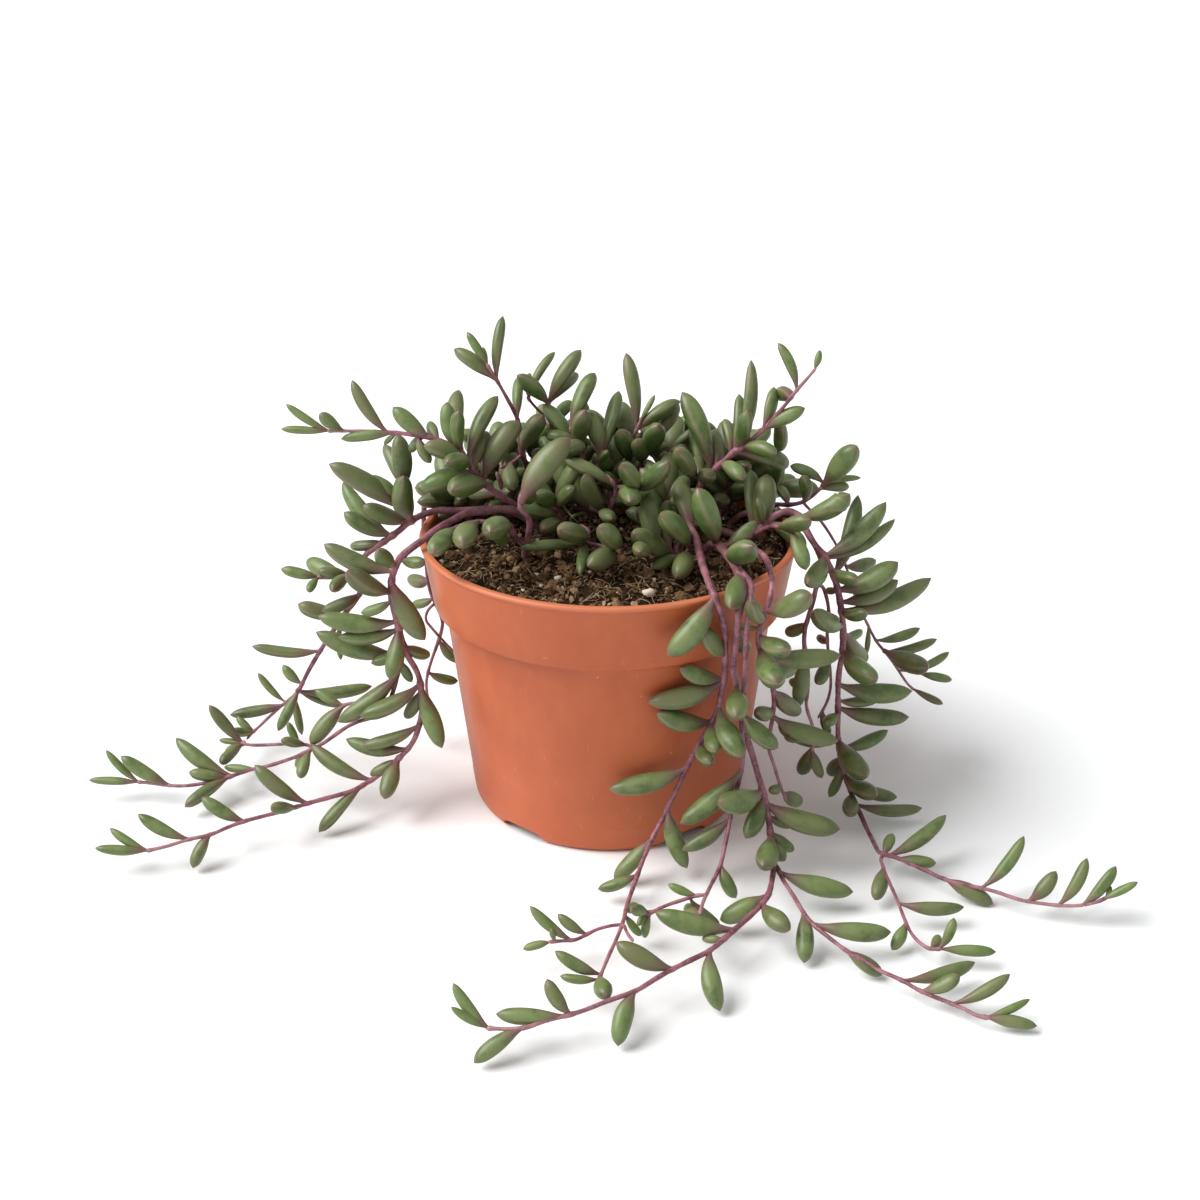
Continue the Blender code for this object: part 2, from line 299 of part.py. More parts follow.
def lay_out():
    """Work out every shoot in mm: smooth stems with radii, leaves with base, tip, bend and girth."""
    shoots = dict(SHOOTS)
    shoots.update(BACK_SHOOTS)
    names = list(shoots)
    P, R, node, stem_of, root, tie = [], [], [], [], [], []
    stems = []                                   # (shoot index, first point, last point)
    leaves = []
    for si, name in enumerate(names):
        sh = shoots[name]
        r0, r1 = sh["r"]
        first = len(P)
        own = []
        for bi, row in enumerate(sh["stems"]):
            pts = fair([place(q) for q in row], 3.6)
            start = len(P)
            if bi:
                prev = np.array(P[first:start])
                k = int(np.argmin(np.linalg.norm(prev - pts[0], axis=1)))
                pts[0] = prev[k]
                ra = max(0.75 * R[first + k], r1)
                tie.append((start, first + k))
            else:
                ra = r0
                root.append(start)
                pts[0, 2] = soil_top(pts[0, 0], pts[0, 1]) + r0 + 0.45
            n = len(pts)
            for k in range(n):
                P.append(pts[k])
                R.append(ra + (r1 - ra) * (k / (n - 1.0)) ** 0.9)
                node.append(si)
                stem_of.append(len(stems))
            stems.append((si, start, len(P) - 1))
            own.append((start, len(P) - 1))
        arr = np.array(P[first:])
        scr, far = screen(arr)
        for li, row in enumerate(sh["leaves"]):
            u0, v0, u1, v1, w = row[:5]
            s = row[5] if len(row) > 5 else 0
            best = None
            for (a, b) in own:
                for k in range(a, b):
                    p, q = scr[k - first], scr[k + 1 - first]
                    e = q - p
                    t = float(np.clip(((np.array((u0, v0)) - p) @ e) / max(e @ e, 1e-9), 0, 1))
                    dd = np.linalg.norm(p + t * e - (u0, v0))
                    if best is None or dd < best[0] - 1e-9:
                        best = (dd, k, t, a, b)
            _, k, t, a, b = best
            if k + t > b - 0.25:
                k, t = b - 1, 0.75
            if k + t < a + 0.3 and a == own[0][0]:
                k, t = a, 0.3
            leaves.append([si, k, t, u1, v1, w, s, li])
        for j in range(sh.get("n", 0)):
            f = 0.12 + 0.87 * j / (sh["n"] - 1.0)
            w = f * (own[0][1] - own[0][0])
            k = min(own[0][0] + int(w), own[0][1] - 1)
            t = min(w - int(w), 0.75) if k + 1 < own[0][1] else 0.75
            leaves.append([si, k, t, j * 2.39996 + si, f, 0.0, None, 100 + j])
    P = np.array(P)
    P0 = P.copy()
    R = np.array(R)
    node = np.array(node)
    D = P - EYE
    D /= np.linalg.norm(D, axis=1)[:, None]
    S = np.zeros(len(P))
    # leaves
    L = len(leaves)
    lk = np.array([l[1] for l in leaves])
    lt = np.array([l[2] for l in leaves])
    lsi = np.array([l[0] for l in leaves])
    base = P[lk] * (1 - lt)[:, None] + P[lk + 1] * lt[:, None]
    tang = P[lk + 1] - P[lk]
    tang /= np.linalg.norm(tang, axis=1)[:, None]
    _, bf = screen(base)
    tip = np.zeros((L, 3))
    girth = np.zeros(L)
    TD = np.zeros((L, 3))
    for i, l in enumerate(leaves):
        u1, v1, w, s = l[3:7]
        if s is None:                            # spiral leaf of a back shoot
            turn, f = u1, v1
            girth[i] = 3.3 - 1.1 * f ** 2
            a = np.cross(tang[i], (0.31, 0.12, 0.94))
            a /= np.linalg.norm(a)
            c = np.cross(tang[i], a)
            out = a * cos(turn) + c * sin(turn)
            if out[2] < 0 and base[i, 2] < 14:
                out[2] *= 0.25
            out = 0.62 * tang[i] + out
            tip[i] = base[i] + out / np.linalg.norm(out) * (18.5 - 3.0 * f + 1.5 * sin(3.1 * turn))
            tip[i, 2] = max(tip[i, 2], 1.5)
            d = tip[i] - EYE
            TD[i] = d / np.linalg.norm(d)
            continue
        d = sight(u1, v1)
        TD[i] = d
        girth[i] = 0.5 * w * bf[i] / FOCAL
        ahead = d[1] * CT - d[2] * ST
        p = EYE + d * (bf[i] / ahead)
        if s > 900:
            tip[i] = EYE + d * ((s - H - EYE[2]) / d[2])
            continue
        flat = np.linalg.norm(p - base[i])
        true = min(max(flat, 5.4 * girth[i]), 25.0)
        out = sqrt(max(true * true - flat * flat, 0.0))
        sg = s if s else -0.6
        if s == 1 and flat > 5.0 * girth[i]:
            out = max(out, 0.25 * flat)
        tip[i] = p + d * (sg * out)
    T = np.zeros(L)
    tip0 = tip.copy()
    # bodies used to keep things apart: joints of the stems, stations of the leaves
    m = len(LEAF_T)
    ball_r = np.concatenate((R, (girth[:, None] * LEAF_R[None, :]).ravel()))
    ball_n = np.concatenate((node, np.repeat(lsi, m)))
    ball_l = np.concatenate((-np.ones(len(P), int), np.repeat(np.arange(L), m)))
    ball_t = np.concatenate((np.zeros(len(P)), np.tile(LEAF_T, L)))
    nP = len(P)

    def leaf_mid(b, tp):
        length = np.linalg.norm(tp - b, axis=1)
        ax = (tp - b) / length[:, None]
        side = tang - ax * np.sum(tang * ax, axis=1)[:, None]
        return b + (tp - b) * 0.42 + side * (0.17 * length)[:, None]

    def centres(S, T):
        Q = P0 + D * S[:, None]
        b = Q[lk] * (1 - lt)[:, None] + Q[lk + 1] * lt[:, None]
        tp = tip0 + TD * T[:, None]
        mid = leaf_mid(b, tp)
        t = LEAF_T[None, :, None]
        c = (1 - t) ** 2 * b[:, None] + 2 * t * (1 - t) * mid[:, None] + t * t * tp[:, None]
        return Q, b, mid, tp, np.vstack((Q, c.reshape(-1, 3)))

    pinned = np.zeros(nP, bool)
    for k in root:
        pinned[k] = True
    for it in range(RELAX_STEPS):
        Q, b, mid, tp, C = centres(S, T)
        need = np.zeros(len(C))
        cnt = np.zeros(len(C))
        scr, far = screen(C)
        if it % 12 == 0:
            pairs = []
            reach = ball_r * 1.0
            step = 400
            for a0 in range(0, len(C), step):
                a1 = min(a0 + step, len(C))
                du = scr[a0:a1, None, 0] - scr[None, :, 0]
                dv = scr[a0:a1, None, 1] - scr[None, :, 1]
                zz = 0.5 * (far[a0:a1, None] + far[None, :])
                lat = np.hypot(du, dv) * zz / FOCAL
                lim = reach[a0:a1, None] + reach[None, :] + CLEAR + 0.4
                ok = (lat < lim) & (np.abs(far[a0:a1, None] - far[None, :]) < lim + 3.0)
                ia, ib = np.nonzero(ok)
                ia = ia + a0
                keep = ia < ib
                ia, ib = ia[keep], ib[keep]
                same = ball_n[ia] == ball_n[ib]
                la, lb = ball_l[ia], ball_l[ib]
                both = (la >= 0) & (lb >= 0) & (la != lb) & (ball_t[ia] > 0.3) & (ball_t[ib] > 0.3)
                keep = ~same | both
                pairs.append(np.column_stack((ia[keep], ib[keep])))
            pairs = np.vstack(pairs)
            pa, pb = pairs[:, 0], pairs[:, 1]
            psame = ball_n[pa] == ball_n[pb]
        want = ball_r[pa] + ball_r[pb] + np.where(psame, -0.25 * (ball_r[pa] + ball_r[pb]) * 0.6, CLEAR)
        zz = 0.5 * (far[pa] + far[pb])
        lat = np.linalg.norm(scr[pa] - scr[pb], axis=1) * zz / FOCAL
        dz = far[pb] - far[pa]
        tgt = np.sqrt(np.maximum(want * want - lat * lat, 0.0))
        sg = np.where(dz >= 0, 1.0, -1.0)
        miss = tgt - np.abs(dz)
        hit = miss > 0.0
        mv = 0.5 * miss[hit] * sg[hit]
        push = np.zeros(len(C))
        pull = np.zeros(len(C))
        np.maximum.at(push, pb[hit], np.maximum(mv, 0))
        np.minimum.at(pull, pb[hit], np.minimum(mv, 0))
        np.maximum.at(push, pa[hit], np.maximum(-mv, 0))
        np.minimum.at(pull, pa[hit], np.minimum(-mv, 0))
        need = push + pull
        # pot, soil and table
        sd = pot_clearance(C) - ball_r - 0.42
        dirs = C - EYE
        dirs /= np.linalg.norm(dirs, axis=1)[:, None]
        g = (pot_clearance(C + dirs * 0.5) - pot_clearance(C - dirs * 0.5))
        bad = sd < 0
        mag = np.minimum(-sd / np.maximum(np.abs(g), 0.35), 2.0)
        need[bad] = (np.where(g[bad] > 0.15, 1.0, -1.0) * mag[bad])
        low = C[:, 2] - ball_r - TABLE_GAP
        bad = low < 0
        need[bad] = np.minimum(need[bad], low[bad] / (-dirs[bad, 2]))
        # hand the moves on to the joints of the stems and to the tips
        dS = need[:nP].copy()
        nl = need[nP:].reshape(L, m)
        tw = LEAF_T[None, :]
        dT = (nl * tw).max(axis=1) + (nl * tw).min(axis=1)
        dT = dT * 1.25
        db = (nl * (1 - tw)).max(axis=1) + (nl * (1 - tw)).min(axis=1)
        addp = np.zeros(nP)
        addn = np.zeros(nP)
        for kk, ww in ((lk, 1 - lt), (lk + 1, lt)):
            np.maximum.at(addp, kk, np.maximum(db * ww, 0))
            np.minimum.at(addn, kk, np.minimum(db * ww, 0))
        dS += 0.8 * (addp + addn)
        dS[pinned] = 0
        T += 0.7 * dT
        S += 0.7 * dS
        for (si, a, b_) in stems:
            if b_ - a >= 2:
                sl = S[a:b_ + 1]
                sl[1:-1] += 0.22 * (sl[:-2] - 2 * sl[1:-1] + sl[2:])
        for (c, k) in tie:
            S[c] = S[k]
        S[pinned] = 0
        Sb = S[lk] * (1 - lt) + S[lk + 1] * lt
        T += 0.0 * Sb
    Q, b, mid, tp, C = centres(S, T)
    # leaves that still meet another shoot, the pot or the table are slimmed
    slim = np.ones(L)
    for rnd in range(4):
        rr = ball_r.copy()
        rr[nP:] *= np.repeat(slim, m)
        worst = np.zeros(len(C))
        diff = C[pa] - C[pb]
        dist = np.linalg.norm(diff, axis=1)
        miss = np.where(psame, -1.0, rr[pa] + rr[pb] + 0.33 - dist)
        np.maximum.at(worst, pa, miss)
        np.maximum.at(worst, pb, miss)
        sd = rr + 0.36 - pot_clearance(C)
        worst = np.maximum(worst, sd)
        worst = np.maximum(worst, rr + 0.05 - C[:, 2])
        wl = worst[nP:].reshape(L, m)
        rl = rr[nP:].reshape(L, m)
        cut = np.where(wl > 0, 1.0 - 0.6 * wl / rl, 1.0).min(axis=1)
        slim *= np.clip(cut, 0.35, 1.0)
    return dict(names=names, stems=stems, P=Q, R=R, node=node, leaves=leaves, lk=lk, lsi=lsi,
                base=b, mid=mid, tip=tp, girth=girth, slim=slim, tie=tie, balls=C, ball_r=ball_r,
                ball_n=ball_n, ball_l=ball_l, shift=S, tshift=T, tang=tang)


def crown_edge(q):
    """True where sights q (n, 2) lie inside the outline of the crown."""
    return ((q[:, 0] > 412) & (q[:, 0] < 850) & (q[:, 1] < 546)
            & (q[:, 1] > 408 + 0.0009 * (q[:, 0] - 620) ** 2))


def fill_crown(plan):
    """Add the short shoots: each takes only the leaves that have room among all that stand already."""
    m = len(LEAF_T)
    keep = np.repeat(plan["slim"], m)
    rr = plan["ball_r"].copy()
    rr[len(plan["P"]):] *= keep
    C = [plan["balls"], ]
    RR = [rr]
    new = dict(P=[], R=[], base=[], mid=[], tip=[], girth=[], lk=[], lt=[], lsi=[], stems=[], names=[])
    nP = len(plan["P"])
    for name, (x0, y0, top) in FILLS.items():
        allc, allr = np.vstack(C), np.concatenate(RR)
        near = (np.abs(allc[:, 0] - x0) < 34) & (np.abs(allc[:, 1] - y0) < 34) & (allc[:, 2] > 78)
        allc, allr = allc[near], allr[near]
        best = None
        for trial in range(27):
            dx, dy, ph = (trial % 3 - 1) * 3.2, (trial // 3 % 3 - 1) * 3.2, (trial // 9) * 0.8
            x, y = x0 + dx, y0 + dy
            lean = np.array((x, y - 10.0)) * 0.11
            z = soil_top(x, y) + 1.1 + 0.45
            pts = fair([np.array((x, y, z)), np.array((x + lean[0] * 0.4, y + lean[1] * 0.4, (z + top - 7) / 2)),
                        np.array((x + lean[0], y + lean[1], top - 7.0))], 3.0)
            r = np.linspace(1.1, 0.55, len(pts))
            mids = np.vstack((pts, 0.5 * (pts[1:] + pts[:-1])))
            rm = np.concatenate((r, 0.5 * (r[1:] + r[:-1])))
            d = np.linalg.norm(mids[:, None] - allc[None], axis=2) - rm[:, None] - allr[None]
            if d.min() < 0.6 or (pot_clearance(mids[1:]) - rm[1:]).min() < 0.25:
                continue
            n = len(pts)
            got, mine_c, mine_r = [], np.zeros((0, 3)), np.zeros(0)
            for j in range(16):
                f = 0.10 + 0.90 * j / 15.0
                w = f * (n - 1)
                k = min(int(w), n - 2)
                t = min(w - k, 0.75)
                b = pts[k] * (1 - t) + pts[k + 1] * t
                tg = pts[k + 1] - pts[k]
                tg = tg / np.linalg.norm(tg)
                turn = j * 2.39996 + ph
                a = np.cross(tg, (0.31, 0.12, 0.94))
                a /= np.linalg.norm(a)
                c = np.cross(tg, a)
                for size in (1.0, 0.84, 0.70):
                    out = a * cos(turn) + c * sin(turn) + tg * (0.35 + 0.75 * f)
                    tip = b + out / np.linalg.norm(out) * (16.0 + 2.0 * sin(2.3 * turn)) * size
                    g = (3.25 + 0.35 * sin(1.7 * turn)) * (0.35 + 0.65 * size)
                    L = np.linalg.norm(tip - b)
                    ax = (tip - b) / L
                    side = tg - ax * (tg @ ax)
                    mid = b + (tip - b) * 0.42 + side * 0.17 * L
                    s = LEAF_T[:, None]
                    q = (1 - s) ** 2 * b + 2 * s * (1 - s) * mid + s * s * tip
                    rq = LEAF_R * g
                    if not crown_edge(screen(q[2:])[0]).all():
                        continue
                    if (pot_clearance(q) - rq).min() < 0.45:
                        continue
                    if (np.linalg.norm(q[:, None] - allc[None], axis=2) - rq[:, None] - allr[None]).min() < 0.55:
                        continue
                    if len(mine_r) and (np.linalg.norm(q[2:, None] - mine_c[None], axis=2)
                                        / (rq[2:, None] + mine_r[None])).min() < 0.72:
                        continue
                    got.append((k, t, b, mid, tip, g))
                    mine_c = np.vstack((mine_c, q[2:]))
                    mine_r = np.concatenate((mine_r, rq[2:]))
                    break
            if best is None or len(got) > len(best[0]):
                best = (got, pts, r)
        if best is None or len(best[0]) < 3:
            continue
        got, pts, r = best
        start = nP + sum(len(q) for q in new["P"])
        si = len(plan["names"]) + len(new["names"])
        new["names"].append(name)
        new["stems"].append((si, start, start + len(pts) - 1))
        new["P"].append(pts)
        new["R"].append(r)
        C.append(pts)
        RR.append(r)
        for (k, t, b, mid, tip, g) in got:
            new["lk"].append(start + k)
            new["lt"].append(t)
            new["lsi"].append(si)
            new["base"].append(b)
            new["mid"].append(mid)
            new["tip"].append(tip)
            new["girth"].append(g)
            s = LEAF_T[:, None]
            C.append((1 - s) ** 2 * b + 2 * s * (1 - s) * mid + s * s * tip)
            RR.append(LEAF_R * g)
    plan["leaves"] = plan["leaves"] + [[a, b, t] for a, b, t in zip(new["lsi"], new["lk"], new["lt"])]
    plan["names"] = plan["names"] + new["names"]
    plan["stems"] = plan["stems"] + new["stems"]
    plan["P"] = np.vstack([plan["P"]] + new["P"])
    plan["R"] = np.concatenate([plan["R"]] + new["R"])
    plan["slim"] = np.concatenate((plan["slim"], np.ones(len(new["lk"]))))
    for key in ("base", "mid", "tip"):
        plan[key] = np.vstack((plan[key], np.array(new[key])))
    plan["girth"] = np.concatenate((plan["girth"], new["girth"]))
    plan["lk"] = np.concatenate((plan["lk"], new["lk"]))
    plan["lsi"] = np.concatenate((plan["lsi"], new["lsi"]))
    return plan



# ---------------------------------------------------------------- modelling helpers
def material(name, colour, rough, metallic=0.0):
    m = bpy.data.materials.new(name)
    m.use_nodes = True
    b = m.node_tree.nodes["Principled BSDF"]
    b.inputs["Base Color"].default_value = (*colour, 1.0)
    b.inputs["Roughness"].default_value = rough
    b.inputs["Metallic"].default_value = metallic
    m.diffuse_color = (*colour, 1.0)
    return m


def mesh_object(name, mesh, coll, mats):
    for m in mats:
        mesh.materials.append(m)
    ob = bpy.data.objects.new(name, mesh)
    coll.objects.link(ob)
    return ob


def turned(name, profile, steps, coll):
    """A profile at +X, swept once round Z by a Screw modifier."""
    me = bpy.data.meshes.new(name)
    me.from_pydata([(r * MM, 0, z * MM) for r, z in profile],
                   [(i, i + 1) for i in range(len(profile) - 1)], [])
    ob = bpy.data.objects.new(name, me)
    coll.objects.link(ob)
    s = ob.modifiers.new("turn", "SCREW")
    s.steps = s.render_steps = steps
    s.use_merge_vertices = True
    s.merge_threshold = 0.00001
    return ob


def baked(ob, name, coll, weld=0.0):
    """The object as its modifiers show it, as a plain mesh object of its own."""
    bpy.context.view_layer.update()
    deps = bpy.context.evaluated_depsgraph_get()
    me = bpy.data.meshes.new_from_object(ob.evaluated_get(deps))
    if weld:
        bm = bmesh.new()
        bm.from_mesh(me)
        bmesh.ops.remove_doubles(bm, verts=bm.verts, dist=weld)
        bm.to_mesh(me)
        bm.free()
    new = bpy.data.objects.new(name, me)
    coll.objects.link(new)
    new.matrix_world = ob.matrix_world.copy()
    bpy.data.objects.remove(ob)
    return new


def thin_out(pts, rad, tol):
    """Indices of the points that keep the line within tol of its full course."""
    keep = [0, len(pts) - 1]
    todo = [(0, len(pts) - 1)]
    while todo:
        a, b = todo.pop()
        if b - a < 2:
            continue
        e = pts[b] - pts[a]
        q = pts[a + 1:b]
        t = np.clip(((q - pts[a]) @ e) / (e @ e), 0, 1)
        d = np.linalg.norm(q - (pts[a] + t[:, None] * e), axis=1)
        k = int(np.argmax(d))
        if d[k] > tol:
            keep.append(a + 1 + k)
            todo += [(a, a + 1 + k), (a + 1 + k, b)]
    return sorted(keep)


def on_lines(lines, p):
    """The point nearest to p on a set of open polygons."""
    best = None
    for q in lines:
        a, e = q[:-1], np.diff(q, axis=0)
        t = np.clip(((p - a) * e).sum(axis=1) / (e * e).sum(axis=1), 0.03, 0.97)
        c = a + t[:, None] * e
        d = np.linalg.norm(c - p, axis=1)
        k = int(np.argmin(d))
        if best is None or d[k] < best[0]:
            best = (d[k], c[k])
    return best[1]


def stem_tube(name, pts, rad, coll, mat):
    cu = bpy.data.curves.new(name, "CURVE")
    cu.dimensions = "3D"
    cu.bevel_depth = MM
    cu.bevel_resolution = 0
    cu.use_fill_caps = True
    sp = cu.splines.new("POLY")
    sp.points.add(len(pts) - 1)
    for p, co, r in zip(sp.points, pts, rad):
        p.co = (co[0] * MM, co[1] * MM, co[2] * MM, 1.0)
        p.radius = r
    cu.materials.append(mat)
    ob = bpy.data.objects.new(name, cu)
    coll.objects.link(ob)
    return baked(ob, name, coll, weld=1e-7)


def leaf_solid(name, b, m, t, girth, coll, mats, plain=False):
    """A sphere drawn out along a bent axis into a spindle with a pointed tip."""
    bm = bmesh.new()
    rings = 2 if girth < SMALL_LEAF or plain else 3
    bmesh.ops.create_uvsphere(bm, u_segments=LEAF_SIDES, v_segments=rings, radius=1.0)
    side = np.cross(t - b, (0.13, 0.21, 0.97))
    side /= np.linalg.norm(side)
    for v in bm.verts:
        z = v.co.z
        s, f = (0.0, 0.0) if z > 0.9 else (0.30, 0.85) if z > 0.1 else (0.68, 1.02) if z > -0.9 else (1.0, 0.0)
        if rings == 2 and f:
            s, f = 0.5, 1.0
        c = (1 - s) ** 2 * b + 2 * s * (1 - s) * m + s * s * t
        if f:
            ax = 2 * (1 - s) * (m - b) + 2 * s * (t - m)
            ax /= np.linalg.norm(ax)
            n1 = side - ax * (side @ ax)
            n1 /= np.linalg.norm(n1)
            n2 = np.cross(n1, ax)
            turn = hypot(v.co.x, v.co.y)
            c = c + (n1 * v.co.x + n2 * v.co.y) * (girth * f / turn)
        v.co = c * MM
    bmesh.ops.recalc_face_normals(bm, faces=bm.faces)
    me = bpy.data.meshes.new(name)
    bm.to_mesh(me)
    bm.free()
    ob = mesh_object(name, me, coll, mats)
    for p in me.polygons:
        p.material_index = len(mats) - 1
    return ob


def fuse(body, others, name, coll):
    """Boolean union of body with each of the others in turn."""
    for o in others:
        b = body.modifiers.new("join", "BOOLEAN")
        b.operation = "UNION"
        b.solver = "EXACT"
        b.object = o
    new = baked(body, name, coll)
    for o in others:
        bpy.data.objects.remove(o)
    return new


# ---------------------------------------------------------------- clean start
for ob in list(bpy.data.objects):
    bpy.data.objects.remove(ob, do_unlink=True)
plant = bpy.data.collections.new(OBJECT)
tools = bpy.data.collections.new("cutters")
bpy.context.scene.collection.children.link(plant)
bpy.context.scene.collection.children.link(tools)

terracotta = material("terracotta_plastic", (0.60, 0.155, 0.062), 0.45)
peat = material("potting_soil", (0.055, 0.033, 0.022), 0.95)
flesh = material("leaf_flesh", (0.105, 0.17, 0.07), 0.5)
skin = material("stem_skin", (0.21, 0.055, 0.085), 0.5)

# ---------------------------------------------------------------- pot
profile = [(0, POT_FLOOR), (42.6, POT_FLOOR), (43.9, 3.0), (51.1, COLLAR_LOW + 0.5), (55.0, 73.0), (56.4, 80.0),
           (57.3, 91.8), (57.8, POT_HEIGHT), (59.6, POT_HEIGHT), (POT_RIM_R, 91.9), (POT_RIM_R, 91.1),
           (59.3, 90.5), (57.2, 77.0), (56.2, COLLAR_HIGH), (52.7, COLLAR_LOW), (45.1, 2.4), (44.2, 0.7),
           (POT_BASE_R + 0.4, 0), (0, 0)]
pot = turned("pot_turned", profile, TURN_STEPS, plant)
cutters = []
rad = ((SLOT_WIDTH / 2) ** 2 + SLOT_HEIGHT ** 2) / (2 * SLOT_HEIGHT)
for i in range(SLOTS):
    a = SLOT_PHASE + i * 2 * pi / SLOTS
    bm = bmesh.new()
    bmesh.ops.create_cone(bm, cap_ends=True, segments=40, radius1=rad * MM, radius2=rad * MM, depth=9 * MM)
    me = bpy.data.meshes.new("slot_%d" % (i + 1))
    bm.to_mesh(me)
    bm.free()
    c = mesh_object("slot_%d" % (i + 1), me, tools, [])
    c.rotation_euler = (0, pi / 2, a)
    c.location = (43.8 * cos(a) * MM, 43.8 * sin(a) * MM, (SLOT_HEIGHT - rad) * MM)
    c.hide_render = True
    c.display_type = "WIRE"
    b = pot.modifiers.new("slot", "BOOLEAN")
    b.operation = "DIFFERENCE"
    b.solver = "EXACT"
    b.object = c
    cutters.append(c)
pot = baked(pot, "pot", plant)
pot.data.materials.clear()
pot.data.materials.append(terracotta)
for c in cutters:
    bpy.data.objects.remove(c)

# ---------------------------------------------------------------- soil
g = SOIL_GAP
profile = [(0, 88.0)] + [(r, 88.0) for r in (16, 31, 45)] + [
    (56.35 - g, 86.6), (56.4 - g, 80.0), (55.0 - g, 73.0 + g), (51.1 - g, COLLAR_LOW + 0.5 + g),
    (43.9 - g, 3.0 + g), (42.6 - g, POT_FLOOR + g), (0, POT_FLOOR + g)]
soil = baked(turned("soil_turned", profile, SOIL_STEPS, plant), "soil", plant)
soil.data.materials.append(peat)
for v in soil.data.vertices:
    if v.co.z > 85.0 * MM:
        x, y = v.co.x / MM, v.co.y / MM
        v.co.z = soil_top(x, y) * MM

# ---------------------------------------------------------------- shoots
plan = fill_crown(lay_out())
for si, name in enumerate(plan["names"]):
    tubes, lines = [], []
    for (s, a, b) in plan["stems"]:
        if s != si:
            continue
        pts, rad = plan["P"][a:b + 1].copy(), plan["R"][a:b + 1]
        if lines:
            pts[0] = on_lines(lines, pts[0])
        k = thin_out(pts, rad, STEM_TOLERANCE)
        lines.append(pts[k])
        tubes.append(stem_tube("tube", pts[k], rad[k], plant, skin))
        tubes[-1].data.materials.append(flesh)
    blades = []
    for i in np.nonzero(plan["lsi"] == si)[0]:
        blades.append(leaf_solid("blade", on_lines(lines, plan["base"][i]), plan["mid"][i], plan["tip"][i],
                                 plan["girth"][i] * plan["slim"][i] * 1.03, plant, [skin, flesh],
                                 plain=name.startswith("crown_fill")))
    fuse(tubes[0], tubes[1:] + blades, name, plant)

for ob in plant.objects:
    ob.data.shade_smooth()
    ob.data.set_sharp_from_angle(angle=radians(40))
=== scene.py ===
import bpy
import bmesh
import numpy as np
from math import cos, sin, pi, radians, sqrt, hypot, atan2
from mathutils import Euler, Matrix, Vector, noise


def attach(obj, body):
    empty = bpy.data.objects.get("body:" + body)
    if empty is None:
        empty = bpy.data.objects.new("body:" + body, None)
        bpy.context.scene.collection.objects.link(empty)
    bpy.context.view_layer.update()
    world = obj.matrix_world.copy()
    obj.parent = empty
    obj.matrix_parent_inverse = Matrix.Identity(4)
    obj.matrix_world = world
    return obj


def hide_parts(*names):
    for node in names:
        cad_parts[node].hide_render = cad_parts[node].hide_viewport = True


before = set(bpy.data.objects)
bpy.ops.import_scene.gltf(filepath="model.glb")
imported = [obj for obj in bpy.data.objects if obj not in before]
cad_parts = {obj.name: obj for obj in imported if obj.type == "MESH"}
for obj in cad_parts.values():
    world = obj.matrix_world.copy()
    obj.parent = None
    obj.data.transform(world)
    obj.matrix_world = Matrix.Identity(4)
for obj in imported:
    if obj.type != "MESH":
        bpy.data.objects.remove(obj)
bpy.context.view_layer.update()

MM = 0.001
RELAX_STEPS = 90
KEY, KEY_SPREAD, KEY_DIR = 3.65, 42.0, (0.82, 0.10, -0.92)
FILL = 0.50

